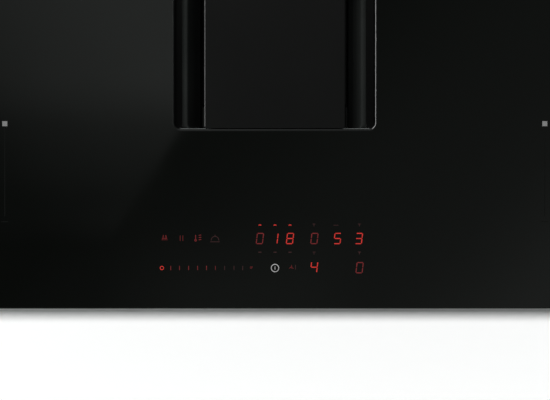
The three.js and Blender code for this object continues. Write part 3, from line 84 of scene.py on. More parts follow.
def add(tree, kind, inputs=None, **settings):
    """Adds one node, with its settings, and its inputs as values or as links from other sockets."""
    node = tree.nodes.new(kind)
    for name, value in settings.items():
        setattr(node, name, value)
    for key, value in (inputs or {}).items():
        if isinstance(value, bpy.types.NodeSocket):
            tree.links.new(value, node.inputs[key])
        else:
            node.inputs[key].default_value = value
    return node


def new_material(name, roughness, metallic=0.0, ior=1.5):
    """An empty material, its tree and its Principled shader."""
    material = bpy.data.materials.new(name)
    material.use_nodes = True
    tree = material.node_tree
    shader = tree.nodes["Principled BSDF"]
    shader.inputs["Roughness"].default_value = roughness
    shader.inputs["Metallic"].default_value = metallic
    shader.inputs["IOR"].default_value = ior
    return material, tree, shader


def finish(name, tones, gloss, grain, depth, stretch=(1, 1, 1), patch=40, metallic=0.0, ior=1.5):
    """A finish of two tones in slow patches, with a gloss and a relief that follow a grain.

    grain, depth and patch are in millimetres; stretch draws the grain out along an axis."""
    material, tree, shader = new_material(name, gloss[0], metallic, ior)
    spot = add(tree, "ShaderNodeTexCoord").outputs["Object"]
    if tones[0] == tones[1]:
        shader.inputs["Base Color"].default_value = linear(tones[0])  # an even tone needs no nodes
    else:
        slow = add(tree, "ShaderNodeTexNoise", {"Vector": spot, "Scale": 1 / (patch * MM), "Detail": 3.0})
        tone = add(tree, "ShaderNodeValToRGB", {"Fac": slow.outputs["Fac"]})
        for element, position, hex_tone in zip(tone.color_ramp.elements, NOISE_SPAN, tones):
            element.position = position
            element.color = linear(hex_tone)
        tree.links.new(tone.outputs["Color"], shader.inputs["Base Color"])
    drawn = add(tree, "ShaderNodeMapping", {"Vector": spot, "Scale": [1 / s for s in stretch]})
    fine = add(tree, "ShaderNodeTexNoise",
               {"Vector": drawn.outputs["Vector"], "Scale": 1 / (grain * MM), "Detail": 4.0})
    dull = add(tree, "ShaderNodeMapRange",
               {"Value": fine.outputs["Fac"], "From Min": NOISE_SPAN[0], "From Max": NOISE_SPAN[1],
                "To Min": gloss[0], "To Max": gloss[1]})
    relief = add(tree, "ShaderNodeBump",
                 {"Height": fine.outputs["Fac"], "Distance": depth * MM, "Strength": 1.0})
    tree.links.new(dull.outputs["Result"], shader.inputs["Roughness"])
    tree.links.new(relief.outputs["Normal"], shader.inputs["Normal"])
    return material


print("mid grey #808080 is", round(linear("#808080")[0], 3), "in linear light")

# %% [markdown]
# ## Camera, floor and light
# The photograph looks straight down on the glass through a long lens, so the camera hangs above it.
# The hob's floor is a white stage with a lamp of its own, as a studio lights its backdrop apart: it
# stands overhead and a little behind, so the shadow is narrow and lies along the front edge. The hob
# is lit by a long strip that leans from overhead to the left, made of five suns in a row, which shades
# the funnel from one side. Both are kept out of reflections, as a photographer keeps a lamp out of a
# mirror, and a soft box at the left is there only for the bright lines on rounded edges.

# %% Camera
IMAGE_WIDTH = 550  # pixels
VIEW_WIDTH = IMAGE_WIDTH * MM  # each pixel of the photograph shows one millimetre of glass
LENS = 100.0
SENSOR = 36.0
FAR_CLIP = 50.0
GLASS_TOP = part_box("glass_panel")[1][2]
VIEW_DISTANCE = VIEW_WIDTH * LENS / SENSOR
CAMERA_PLACE = (0.0002, -0.1488, GLASS_TOP + VIEW_DISTANCE)

camera = bpy.data.objects.new("camera", bpy.data.cameras.new("camera"))
camera.data.lens = LENS
camera.data.sensor_width = SENSOR
camera.data.clip_end = FAR_CLIP
camera.location = CAMERA_PLACE
bpy.context.scene.collection.objects.link(camera)
bpy.context.scene.camera = camera
bpy.context.scene.view_settings.view_transform = "Standard"
print("camera", round(VIEW_DISTANCE, 3), "m above the glass")

# %% Floor
FLOOR_REACH = 6.0  # metres from its middle to each side
FLOOR_DROP = 0.5 * MM  # it lies this far under the hob's base, so that the two never flicker
CARD_FIBRES = 900.0  # to the metre
CARD_TOOTH = 0.02 * MM


def floor_material():
    """White studio card: matt, with the faint tooth of its fibres, so its light is even."""
    material, tree, shader = new_material("white studio card", 0.9)
    spot = add(tree, "ShaderNodeTexCoord").outputs["Object"]
    fibre = add(tree, "ShaderNodeTexNoise", {"Vector": spot, "Scale": CARD_FIBRES, "Detail": 2.0})
    relief = add(tree, "ShaderNodeBump",
                 {"Height": fibre.outputs["Fac"], "Distance": CARD_TOOTH, "Strength": 0.3})
    tree.links.new(relief.outputs["Normal"], shader.inputs["Normal"])
    shader.inputs["Base Color"].default_value = linear("#F7F7F7")
    return material


floor_mesh = bpy.data.meshes.new("floor")
corners = [(-FLOOR_REACH, -FLOOR_REACH), (FLOOR_REACH, -FLOOR_REACH),
           (FLOOR_REACH, FLOOR_REACH), (-FLOOR_REACH, FLOOR_REACH)]
floor_mesh.from_pydata([(x, y, 0.0) for x, y in corners], [], [(0, 1, 2, 3)])
floor = bpy.data.objects.new("floor", floor_mesh)
floor.location.z = -FLOOR_DROP
floor.data.materials.append(floor_material())
bpy.context.scene.collection.objects.link(floor)
print("floor", 2 * FLOOR_REACH, "m across")

# %% Lamps
STRIP = [(6, 0.70), (16, 0.66), (27, 0.60), (38, 0.46), (48, 0.32)]  # degrees to the left, strength
FLOOR_STRENGTH = 2.9
LAMP_REAR = 0.111  # how far the lamps lie behind each point, per metre of their height
LAMP_WIDTH = math.radians(4.0)
BOX_PLACE = (-1.8, 0.95, 1.75)
BOX_AIM = (0.0, -0.05, GLASS_TOP)
BOX_SIZE = (3.0, 1.5)
BOX_POWER = 172.0


def group(name, state):
    """A group for a lamp that lights the floor alone, or all but the floor."""
    collection = bpy.data.collections.new(name)
    collection.objects.link(floor)
    collection.collection_objects[0].light_linking.link_state = state
    return collection


def far_lamp(name, lean, strength, lit):
    """A broad far lamp that leans to the left and a little to the rear, kept out of reflections."""
    lamp = bpy.data.objects.new(name, bpy.data.lights.new(name, "SUN"))
    lamp.data.energy = strength
    lamp.data.angle = LAMP_WIDTH
    ray = Vector((math.tan(math.radians(lean)), -LAMP_REAR, -1.0))
    lamp.rotation_euler = ray.to_track_quat("-Z", "Y").to_euler()
    lamp.visible_glossy = False
    lamp.light_linking.receiver_collection = lit
    bpy.context.scene.collection.objects.link(lamp)


all_but_floor = group("all but the floor", "EXCLUDE")
for number, (lean, strength) in enumerate(STRIP):
    far_lamp(f"strip_light_{number}", lean, strength, all_but_floor)
far_lamp("floor_light", 0, FLOOR_STRENGTH, group("the floor", "INCLUDE"))

soft_box = bpy.data.objects.new("soft_box", bpy.data.lights.new("soft_box", "AREA"))
soft_box.data.shape = "RECTANGLE"
soft_box.data.size, soft_box.data.size_y = BOX_SIZE
soft_box.data.energy = BOX_POWER
soft_box.location = BOX_PLACE
aim = Vector(BOX_AIM) - Vector(BOX_PLACE)
soft_box.rotation_euler = aim.to_track_quat("-Z", "Y").to_euler()
soft_box.visible_diffuse = False
bpy.context.scene.collection.objects.link(soft_box)
print(len(STRIP), "suns in the strip, one for the floor, and a soft box of", BOX_POWER, "W")

# %% [markdown]
# The glass is a black mirror, so most of what the camera sees in it is the ceiling of the studio. The
# ceiling is drawn in the world's shader as a function of direction: dark overhead, a little lighter
# towards the right and front, and one large soft panel at the upper left whose straight edge crosses
# the glass beside the opening. To the camera itself the world is plain white.

# %% The ceiling's levels
STUDIO_TINT, PLAIN_WHITE = "#F4FAF6", "#FFFFFF"
PANEL_ACROSS = (-0.85, 0.53)  # the way across the panel's edge
PANEL_EDGE = (0.0756, 0.0788)  # where that edge starts and ends
PANEL_LEVEL = 0.374
PANEL_LEAN = 0.6  # the panel dies out to the left too, sooner in front than behind
LEVELS = {  # for each, what it follows and its (value, level) stops
    "overhead": ("slant", [(-0.30, 0.056), (-0.12, 0.060), (-0.08, 0.078), (-0.04, 0.093), (0.0, 0.110),
                           (0.04, 0.126), (0.10, 0.140), (0.15, 0.163), (0.19, 0.205), (0.25, 0.300),
                           (0.30, 0.05)]),
    "to_front": ("along", [(-0.06, 0.038), (-0.012, 0.0)]),
    "not_left": ("across", [(-0.115, 0.0), (-0.06, 1.0), (0.02, 1.0), (0.06, 0.1)]),
    "panel_depth": ("along", [(-0.030, 0.0), (-0.021, 0.125), (-0.013, 0.19), (0.0025, 0.207),
                              (0.018, 0.335), (0.034, 0.418), (0.050, 0.525), (0.065, 0.84), (0.078, 1.0)]),
    "panel_side": ("leaning", [(-0.20, 0.15), (-0.166, 0.26), (-0.133, 0.53), (-0.09, 0.76),
                               (-0.04, 0.95), (-0.016, 1.0)]),
    "rear": ("north", [(-0.2, 0.25), (0.6, 0.50)]),
    "right": ("east", [(0.1, 1.0), (0.35, 0.2)]),
    "walls": ("east", [(0.0, 0.62), (0.8, 0.06)]),
}
OUTER_CEILING = (0.955, 0.90)  # the ceiling's outer part takes over as a ray sinks past these
WALLS = (0.45, 0.15)  # and the walls past these
print("the ceiling is drawn by", len(LEVELS), "levels")

# %% [markdown]
# A shader's sums are nodes too. Written one by one they bury the idea, so they stand in two lists that
# read as formulas: each line names its result, the operation, and the two things it works on.

# %% World
WHERE_A_RAY_ENDS = [  # a ray's way up, east and north gives the place where it meets a flat ceiling
    ("height", "MAXIMUM", "up", 0.02),
    ("across", "DIVIDE", "east", "height"),
    ("along", "DIVIDE", "north", "height"),
    ("slant", "SUBTRACT", "across", "along"),
    ("edge_east", "MULTIPLY", "across", PANEL_ACROSS[0]),
    ("edge_north", "MULTIPLY", "along", PANEL_ACROSS[1]),
    ("edge", "ADD", "edge_east", "edge_north"),
    ("lean", "MULTIPLY", "along", PANEL_LEAN),
    ("leaning", "ADD", "across", "lean"),
]
HOW_BRIGHT_IT_IS = [
    ("panel_cut", "MULTIPLY", "inside", "panel_depth"),
    ("panel_lit", "MULTIPLY", "panel_cut", PANEL_LEVEL),
    ("panel", "MULTIPLY", "panel_lit", "panel_side"),
    ("front", "MULTIPLY", "to_front", "not_left"),
    ("overhead_and_panel", "ADD", "overhead", "panel"),
    ("ceiling", "ADD", "overhead_and_panel", "front"),
    ("outer", "MULTIPLY", "rear", "right"),
]
world = bpy.data.worlds.new("studio")
bpy.context.scene.world = world
world.use_nodes = True
tree = world.node_tree
tree.nodes.clear()


def work_out(sums, values):
    """Adds the sums in turn, each to the values that the next ones may name."""
    for name, operation, first, second in sums:
        inputs = {0: values[first], 1: values.get(second, second)}
        values[name] = add(tree, "ShaderNodeMath", inputs, operation=operation).outputs["Value"]


direction = add(tree, "ShaderNodeTexCoord").outputs["Generated"]
ways = add(tree, "ShaderNodeSeparateXYZ", {"Vector": direction})
values = dict(zip(("east", "north", "up"), ways.outputs))
work_out(WHERE_A_RAY_ENDS, values)
for name, (followed, stops) in LEVELS.items():
    low, high = stops[0][0], stops[-1][0]
    share = add(tree, "ShaderNodeMapRange", {"Value": values[followed], "From Min": low, "From Max": high})
    level = add(tree, "ShaderNodeValToRGB", {"Fac": share.outputs["Result"]})
    elements = level.color_ramp.elements
    while len(elements) < len(stops):
        elements.new(0.5)
    for element, (at, grey) in zip(elements, stops):
        element.position = (at - low) / (high - low)
        element.color = (grey, grey, grey, 1)
    values[name] = level.outputs["Color"]
for name, followed, (low, high), kind in (("inside", "edge", PANEL_EDGE, "SMOOTHSTEP"),
                                          ("is_outer", "up", OUTER_CEILING, "LINEAR"),
                                          ("is_wall", "up", WALLS, "LINEAR")):
    step = add(tree, "ShaderNodeMapRange", {"Value": values[followed], "From Min": low, "From Max": high},
               interpolation_type=kind)
    values[name] = step.outputs["Result"]
work_out(HOW_BRIGHT_IT_IS, values)

upper = add(tree, "ShaderNodeMix", {0: values["is_outer"], 2: values["ceiling"], 3: values["outer"]},
            data_type="FLOAT")
whole = add(tree, "ShaderNodeMix", {0: values["is_wall"], 2: upper.outputs[0], 3: values["walls"]},
            data_type="FLOAT")
studio = add(tree, "ShaderNodeBackground", {"Color": linear(STUDIO_TINT), "Strength": whole.outputs[0]})
plain = add(tree, "ShaderNodeBackground", {"Color": linear(PLAIN_WHITE), "Strength": 1.0})
is_camera = add(tree, "ShaderNodeLightPath").outputs["Is Camera Ray"]
either = add(tree, "ShaderNodeMixShader", {0: is_camera, 1: studio.outputs[0], 2: plain.outputs[0]})
add(tree, "ShaderNodeOutputWorld", {"Surface": either.outputs[0]})
print("world:", len(tree.nodes), "nodes")

# %% [markdown]
# ## How the pieces are made
# Most of the hob is rings and plates that follow a rounded rectangle, so one loop and one loft make
# them: a list of loops, each a little further in or lower, is joined by quads. A solid whose faces are
# already right is copied, its flat faces are merged, and a bevel rounds its edges as a press or a
# mould would.

# %% Loops, lofts and copies
WELD = 0.001 * MM  # points nearer than this are one
SHARP_EDGE = math.radians(35)  # an edge that turns more than this stays crisp
BEVELLED_EDGE = math.radians(30)
FLAT_ENOUGH = math.radians(1)


def loop(half_x, half_y, radius, z, centre=(0.0, 0.0), steps=8):
    """Points round a rounded rectangle, in millimetres, anticlockwise from its right side."""
    points = []
    for corner, (sx, sy) in enumerate(((1, 1), (-1, 1), (-1, -1), (1, -1))):
        for step in range(steps + 1):
            angle = math.pi / 2 * (corner + step / steps)
            points.append((centre[0] + sx * (half_x - radius) + radius * math.cos(angle),
                           centre[1] + sy * (half_y - radius) + radius * math.sin(angle), z))
    return points


def make(name, points, faces, body, material, replaces=()):
    """A mesh piece from points in millimetres, on its body, with its finish."""
    mesh = bpy.data.meshes.new(name)
    mesh.from_pydata([[v * MM for v in point] for point in points], [], faces)
    work = bmesh.new()
    work.from_mesh(mesh)
    bmesh.ops.remove_doubles(work, verts=work.verts, dist=WELD)
    bmesh.ops.recalc_face_normals(work, faces=work.faces)
    work.to_mesh(mesh)
    work.free()
    return place(bpy.data.objects.new(name, mesh), body, material, replaces)


def place(piece, body, material, replaces=()):
    """Links a piece, shades it, ties it to its body and its finish, and hides the nodes it stands for."""
    piece.data.materials.clear()
    piece.data.materials.append(material)
    piece.data.shade_smooth()
    piece.data.set_sharp_from_angle(angle=SHARP_EDGE)
    weights = piece.modifiers.new("flat faces stay flat", "WEIGHTED_NORMAL")
    weights.keep_sharp = True
    bpy.context.scene.collection.objects.link(piece)
    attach(piece, body)
    if replaces:
        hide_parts(*replaces)
    return piece


def join_loops(loops, wrap=False, cap=False):
    """Points and quads that join equal loops in turn; wrap closes the section, cap closes the ends."""
    count = len(loops[0])
    faces = []
    pairs = list(zip(range(len(loops)), range(1, len(loops))))
    if wrap:
        pairs.append((len(loops) - 1, 0))
    for a, b in pairs:
        for i in range(count):
            j = (i + 1) % count
            faces.append((a * count + i, a * count + j, b * count + j, b * count + i))
    if cap:
        faces.append(tuple(range(count)))
        faces.append(tuple((len(loops) - 1) * count + i for i in range(count)))
    return [point for one in loops for point in one], faces


def rounded_copy(node, width, material):
    """A copy of a node with merged flat faces and rounded edges, which stands for it."""
    mesh = NODES[node].data.copy()
    work = bmesh.new()
    work.from_mesh(mesh)
    bmesh.ops.remove_doubles(work, verts=work.verts, dist=WELD)
    bmesh.ops.dissolve_limit(work, angle_limit=FLAT_ENOUGH, verts=work.verts, edges=work.edges)
    work.to_mesh(mesh)
    work.free()
    piece = bpy.data.objects.new(node + "_rounded", mesh)
    bevel = piece.modifiers.new("rounded edges", "BEVEL")
    bevel.width = width * MM
    bevel.segments = 2
    bevel.limit_method = "ANGLE"
    bevel.angle_limit = BEVELLED_EDGE
    bevel.harden_normals = False
    return place(piece, BODY_OF[node], material, (node,))


print("a loop with rounded corners has", len(loop(10, 10, 2, 0)), "points")

# %% [markdown]
# ## The glass
# The top is glass-ceramic, 4 mm thick, pigmented so dark that it reads as black. It is rolled, then
# ground at its edge, which leaves a small round along the rim and round the opening. It is lofted in
# one go: under the outer edge, over it, in to the opening and down. Its surface is polished, with only
# a slow waviness from the rollers.

# %% Glass-ceramic
ROLLER_WAVE, WAVE_DEPTH = 60.0, 0.004
WIPED_PATCH = 90.0
FILM_SPAN, GLASS_GLOSS = (0.35, 0.75), (0.03, 0.07)  # the film's noise, and the roughness that it gives


def glass_material():
    """Black glass-ceramic: a dark body that mirrors about 4 percent, with faint roller waves.

    The waves make the studio's reflection drift a little, and a film of wiping dulls it in patches."""
    material, tree, shader = new_material("black glass-ceramic, polished", 0.04, ior=1.52)
    spot = add(tree, "ShaderNodeTexCoord").outputs["Object"]
    waves = add(tree, "ShaderNodeTexNoise",
                {"Vector": spot, "Scale": 1 / (ROLLER_WAVE * MM), "Detail": 1.0})
    relief = add(tree, "ShaderNodeBump",
                 {"Height": waves.outputs["Fac"], "Distance": WAVE_DEPTH * MM, "Strength": 1.0})
    film = add(tree, "ShaderNodeTexNoise",
               {"Vector": spot, "Scale": 1 / (WIPED_PATCH * MM), "Detail": 5.0})
    gloss = add(tree, "ShaderNodeMapRange",
                {"Value": film.outputs["Fac"], "From Min": FILM_SPAN[0], "From Max": FILM_SPAN[1],
                 "To Min": GLASS_GLOSS[0], "To Max": GLASS_GLOSS[1]})
    tree.links.new(gloss.outputs["Result"], shader.inputs["Roughness"])
    tree.links.new(relief.outputs["Normal"], shader.inputs["Normal"])
    shader.inputs["Base Color"].default_value = linear("#010201")
    return material


GLASS = glass_material()
print("glass-ceramic waves every", ROLLER_WAVE, "mm")

# %% Glass
(glass_x0, glass_y0, glass_z0), (glass_x1, glass_y1, glass_z1) = box_mm("glass_panel")
(trim_x0, trim_y0, trim_z0), (trim_x1, trim_y1, trim_z1) = box_mm("vent_trim")
GLASS_CORNER = 6.0
GLASS_ROUND, OPENING_ROUND = 0.9, 0.45  # of the outer edge, and round the opening
TRIM_OVERLAP = 1.25  # how far the trim's lip lies on the glass
VENT_CORNER = 8.0
VENT_CENTRE = ((trim_x0 + trim_x1) / 2, (trim_y0 + trim_y1) / 2)
VENT_HALF = ((trim_x1 - trim_x0) / 2, (trim_y1 - trim_y0) / 2)


def glass_loops():
    """Loops over the section of the glass, from under its outer edge to under its opening."""
    half = ((glass_x1 - glass_x0) / 2, (glass_y1 - glass_y0) / 2)
    hole = [v - TRIM_OVERLAP for v in VENT_HALF]
    turns = [math.pi / 2 * i / 4 for i in range(5)]
    outer_edge = [(angle, glass_z0, 1) for angle in turns[::-1]]
    outer_edge += [(angle, glass_z1, -1) for angle in turns]
    loops = []
    for angle, face_z, inward in outer_edge:
        inset = GLASS_ROUND * (1 - math.cos(angle))
        z = face_z + inward * GLASS_ROUND * (1 - math.sin(angle))
        loops.append(loop(half[0] - inset, half[1] - inset, GLASS_CORNER - inset, z))
    for angle in turns[::-1]:
        grow = OPENING_ROUND * (1 - math.cos(angle))
        z = glass_z1 - OPENING_ROUND * (1 - math.sin(angle))
        corner = VENT_CORNER - TRIM_OVERLAP + grow
        loops.append(loop(hole[0] + grow, hole[1] + grow, corner, z, VENT_CENTRE))
    loops.append(loop(*hole, VENT_CORNER - TRIM_OVERLAP, glass_z0, VENT_CENTRE))
    return loops


points, faces = join_loops(glass_loops(), wrap=True)
glass = make("glass_top", points, faces, "hob", GLASS, ("glass_panel",))
print("glass", len(glass.data.polygons), "faces")

# %% [markdown]
# ## The opening: trim, funnel and cover
# A thin lip of black anodised aluminium frames the opening. Its inner edge rolls over, and that roll is
# what catches the light as a bright line. Below it a moulded funnel falls to a shoulder that carries
# the cover, then curves down into the throat.

# %% Anodised trim
# The dyed oxide skin hides the metal, so it is black and mirrors as a clear skin does: a lamp leaves a
# thin line on it, and the rest stays dark.
ANODISED = finish("black anodised aluminium, brushed", ("#070808", "#0A0B0B"), (0.16, 0.24), 0.35, 0.0015,
                  ior=1.45)
TRIM_LIFT = 0.15  # its underside over the glass, for the glue
TRIM_LEG = (1.35, 1.9)  # the leg's two faces
TRIM_END_GROW = 0.6  # its roll reaches further in at the two ends
TRIM_ROLL, TRIM_EDGE = 1.45, 0.06  # how round it is at its inside and at its outer edge


def trim_loops():
    """Loops over the trim's section: outer edge, top, the roll at its inside, and its leg."""
    half_x, half_y = VENT_HALF
    leg_out, leg_in = TRIM_LEG
    section = [(0.0, glass_z1 + TRIM_LIFT)]
    for i in range(4):
        angle = math.pi / 2 * i / 3
        section.append((TRIM_EDGE * (1 - math.cos(angle)), trim_z1 - TRIM_EDGE * (1 - math.sin(angle))))
    for i in range(9):
        angle = math.pi / 2 * (1 - i / 8)
        section.append((leg_in - TRIM_ROLL * (1 - math.cos(angle)),
                        trim_z1 - TRIM_ROLL * (1 - math.sin(angle))))
    section += [(leg_in, trim_z0), (leg_out, trim_z0), (leg_out, glass_z1 + TRIM_LIFT)]
    ends = [TRIM_END_GROW * max(0.0, inset - TRIM_EDGE) / (leg_in - TRIM_EDGE) for inset, _ in section]
    return [loop(half_x - inset, half_y - inset - end, VENT_CORNER - inset, z, VENT_CENTRE, 10)
            for (inset, z), end in zip(section, ends)]


points, faces = join_loops(trim_loops(), wrap=True)
trim = make("opening_trim", points, faces, "hob", ANODISED, ("vent_trim",))
print("trim", len(faces), "faces")

# %% [markdown]
# The funnel is one moulding. At each side it has a channel next to the trim, painted near-black as shade,
# a rounded rim, and a long fall into the throat. The side slots run straight on to the trim's ends, and
# between them a ledge carries the cover. A loop with a notch in each end draws all of that: every loop
# has the same number of points, so a loft still joins them.

# %% The funnel's finishes
# Glass-filled nylon comes dull from the mould, and shows the light from one side as soft grey. The channel
# by the trim and the deep throat are painted near-black with a weak gloss, as painted shade. The lip's ends
# are polished, and between them the edge is bright aluminium, a painted highlight: it gives the streaks of
# light.
MOULDED = finish("black glass-filled nylon, moulded", ("#1F2120", "#252726"), (0.62, 0.74), 0.5, 0.012,
                 patch=60, ior=1.45)
# painted shade: near-black with little gloss, so the channel by the trim and the deep throat read as shadow
SHADE_BLACK = finish("near-black painted shade, polished", ("#030303", "#040404"), (0.10, 0.18), 0.6, 0.002, ior=1.45)
SHADE_BLACK.node_tree.nodes["Principled BSDF"].inputs["Specular IOR Level"].default_value = 0.25
POLISHED = finish("black anodised aluminium, polished edge", ("#0A0B0B", "#0E0F0F"), (0.10, 0.16), 0.35,
                  0.001, ior=2.3)
# painted highlight: bright aluminium on the lip's edge, where the streaks of light are wanted
HIGHLIGHT_METAL = finish("bright aluminium, painted highlight on the lip", ("#D4D6D8", "#E0E2E4"), (0.16, 0.24), 0.35, 0.001,
                   metallic=1.0)
FUNNEL_FINISHES = (MOULDED, SHADE_BLACK, POLISHED, HIGHLIGHT_METAL)
print(len(FUNNEL_FINISHES), "finishes on the funnel")

# %% The funnel's section
# Each list is (inset from the trim, height), and the lip's has the inset at the slots' ends as a third.
collar_z0, collar_z1 = [corner[2] for corner in box_mm("vent_collar")]
SHOULDER = glass_z1 - 15.5
THROAT_INSET = 27.0
FALL_DROP = 36.0
FALL = [(14.0, 204.45), (14.6, 204.2), (15.1, 203.7), (15.6, 202.9), (16.2, 201.6), (17.2, 199.2),
        (18.5, 195.9), (20.0, 191.7), (21.5, 187.0), (23.0, 181.9), (24.5, 176.6), (26.0, 171.2)]
RIM = [(9.7, 202.6), (10.2, 203.1), (10.9, 203.6), (11.8, 204.0), (12.8, 204.35), (13.4, 204.45)]
LIP = [(1.9, 215.75, 1.9), (1.95, 215.55, 2.6), (2.0, 215.1, 3.1), (2.1, 214.4, 3.3)]
CHANNEL = [(2.5, 202.8), (9.0, 202.6)]
UNDERSIDE = [(24.5, 165.8), (23.6, 170.0), (19.1, 186.4), (14.4, 199.0), (12.4, 201.4), (3.0, 200.4),
             (1.2, 200.6), (0.4, 201.6)]
COLLAR_WALL = 2.5
COLLAR_CORNERS = (5.0, 1.2)  # at the rim and at the throat
FLANGE_REACH = 8.0
THROAT_FLOOR = 167.4  # the slots' ends are closed here
SLOT_END = 3.4  # how near the slots' ends come to the trim's outer edge
LEDGE_HALVES = (64.0, 68.5)  # half the ledge's width, at its top and at the throat
LEFT_SHIFT = 1.2  # the left channel is this much narrower than the right one
HIGHLIGHT_INSETS = (12.0, 32.0)  # the lip is bright metal across the slots' ends: a painted highlight
print("the funnel falls", round(SHOULDER - collar_z0, 1), "mm below its shoulder")

# %% Funnel
def arc(centre, radius, start, end, steps):
    """Points on a circle's arc, in degrees."""
    angles = [math.radians(start + (end - start) * i / steps) for i in range(steps + 1)]
    return [(centre[0] + radius * math.cos(a), centre[1] + radius * math.sin(a)) for a in angles]


def funnel_loop(inset, z, end):
    """Points round the funnel at one height: its sides, its slots' ends and the ledge between them."""
    low = max(0.0, min(1.0, (SHOULDER - z) / FALL_DROP))
    width = LEDGE_HALVES[0] + (LEDGE_HALVES[1] - LEDGE_HALVES[0]) * low
    corner = COLLAR_CORNERS[0] + (COLLAR_CORNERS[1] - COLLAR_CORNERS[0]) * low
    side, rear, ledge = VENT_HALF[0] - inset, VENT_HALF[1] - end, VENT_HALF[1] - max(inset, end)
    fillet = min(1.5, (rear - ledge) / 2)
    quarter = arc((side - corner, rear - corner), corner, 0, 90, 8)
    quarter += arc((width + fillet, rear - fillet), fillet, 90, 180, 3)
    quarter += arc((width - fillet, ledge + fillet), fillet, 0, -90, 3)
    points = []
    for sx, sy in ((1, 1), (-1, 1), (-1, -1), (1, -1)):
        run = quarter if sx * sy > 0 else quarter[::-1]
        shift = LEFT_SHIFT if sx < 0 and CHANNEL[-1][0] <= inset < THROAT_INSET else 0.0
        points += [(VENT_CENTRE[0] + sx * x - shift, VENT_CENTRE[1] + sy * y, z) for x, y in run]
    return points


def collar_section():
    """The funnel's section as (inset, height, end inset): down its inside, then up its outside."""
    section = LIP + [(inset, z, SLOT_END) for inset, z in CHANNEL + RIM + FALL]
    section.append((THROAT_INSET, SHOULDER - FALL_DROP, SLOT_END))
    outer = THROAT_INSET - COLLAR_WALL
    throat = [(THROAT_INSET, THROAT_FLOOR), (THROAT_INSET, collar_z0 + 0.6),
              (THROAT_INSET - 0.6, collar_z0), (outer + 0.5, collar_z0), (outer, collar_z0 + 0.5),
              (outer, THROAT_FLOOR - COLLAR_WALL)]
    section += [(inset, z, inset) for inset, z in throat]
    section += [(inset, z, min(inset, SLOT_END - COLLAR_WALL)) for inset, z in UNDERSIDE]
    low, out = collar_z1 - COLLAR_WALL, -FLANGE_REACH
    flange = [(0.4, low), (out + 0.4, low), (out, low + 0.4), (out, collar_z1 - 0.4),
              (out + 0.4, collar_z1)]
    return section + [(inset, z, inset) for inset, z in flange]


points, faces = join_loops([funnel_loop(*level) for level in collar_section()], wrap=True)
funnel = make("opening_funnel", points, faces, "hob", MOULDED, ("vent_collar",))
for material in FUNNEL_FINISHES[1:]:
    funnel.data.materials.append(material)
for face in funnel.data.polygons:
    across = face.center.x / MM - VENT_CENTRE[0]
    inset = VENT_HALF[0] - abs(across) + (LEFT_SHIFT if across < 0 else 0.0)
    height = face.center.z / MM
    used = MOULDED
    # painted highlight: across the slots' ends the lip gets bright metal, polished black nearer the sides
    if height > LIP[-1][1]:
        used = POLISHED if inset < HIGHLIGHT_INSETS[0] else HIGHLIGHT_METAL if inset < HIGHLIGHT_INSETS[1] else MOULDED
    # painted shade: the deep throat and the channel by the trim get the near-black finish
    elif height < FALL[-1][1] or (inset < RIM[0][0] - 0.3 and height > CHANNEL[-1][1] - 0.2):
        used = SHADE_BLACK
    face.material_index = FUNNEL_FINISHES.index(used)
print("funnel", len(funnel.data.polygons), "faces")

# %% Cover
# Powder coat is melted on as a skin with a fine even tooth, so it looks soft and dark. Along the cover's
# rim hands have rubbed the tooth flat, and there it catches the light as a line.
POWDER = finish("satin black powder coat", ("#070707", "#0A0A0A"), (0.28, 0.36), 0.45, 0.003, patch=80,
                ior=1.38)
RUBBED = finish("satin black powder coat, rubbed bright", ("#060606", "#090909"), (0.18, 0.24), 0.45,
                0.002, ior=1.42)
(cover_x0, cover_y0, cover_z0), (cover_x1, cover_y1, cover_z1) = box_mm("cover_panel")
COVER_ROUND = 0.65  # under its edge
COVER_CORNER = 2.0
HIGH_EDGE = [(0.0, -0.5), (0.06, -0.43), (0.24, -0.08), (0.30, 0.0)]  # inset, and height from its top
RIM_SECTION = [(0.0, -0.45), (0.02, -0.12), (0.22, -0.02), (0.26, 0.0), (0.26, -0.10), (0.06, -0.45)]


def cover_loops(section):
    """Loops round the cover from a section of (inset, z)."""
    centre = ((cover_x0 + cover_x1) / 2, (cover_y0 + cover_y1) / 2)
    half = ((cover_x1 - cover_x0) / 2, (cover_y1 - cover_y0) / 2)
    return [loop(half[0] - inset, half[1] - inset, COVER_CORNER - 0.9 * inset, z, centre, 5)
            for inset, z in section]


low_round = [(COVER_ROUND * (1 - math.cos(a)), cover_z0 + COVER_ROUND * (1 - math.sin(a)))
             for a in [math.pi / 2 * (1 - i / 4) for i in range(5)]]
high_edge = [(inset, cover_z1 + z) for inset, z in HIGH_EDGE]
points, faces = join_loops(cover_loops(low_round + high_edge), cap=True)
make("cover", points, faces, "cover", POWDER, ("cover_panel",))
points, faces = join_loops(cover_loops([(inset, cover_z1 + z) for inset, z in RIM_SECTION]), wrap=True)
cover_rim = make("cover_rim", points, faces, "cover", RUBBED)
print("cover", round(cover_x1 - cover_x0, 1), "x", round(cover_y1 - cover_y0, 1), "mm")

# %% [markdown]
# The soft box is there for two thin lines only, the trim's roll and the cover's worn rim. On the glass
# it would be a white glare from some sides, so it is linked to those two pieces, as a photographer
# would flag it off the rest.

# %% Lines of light
lined = bpy.data.collections.new("pieces in the soft box's light")
for piece in (trim, cover_rim):
    lined.objects.link(piece)
soft_box.light_linking.receiver_collection = lined

# %% [markdown]
# ## Prints and lights on the glass
# Zone marks are screen-printed in grey. The controls are red light-emitting diodes that shine through
# the glass: digits of seven bars, leaning a little, and small generic symbols. Each is drawn as strokes
# of a real width in a thin flat mesh just above the glass.

# %% Light and ink
PRINT_LIFT = 0.05
FRONT = glass_y0  # everything on the panel is measured from the front edge
GLOW_PATCH, GLOW_LEVELS = 4.0, (0.75, 1.15)


def ink_material(name, colour):
    """Ceramic screen print: fired-on enamel with the grain of its mesh, dull on the glossy glass."""
    return finish(name, (colour, colour), (0.45, 0.6), 0.25, 0.003, ior=1.35)


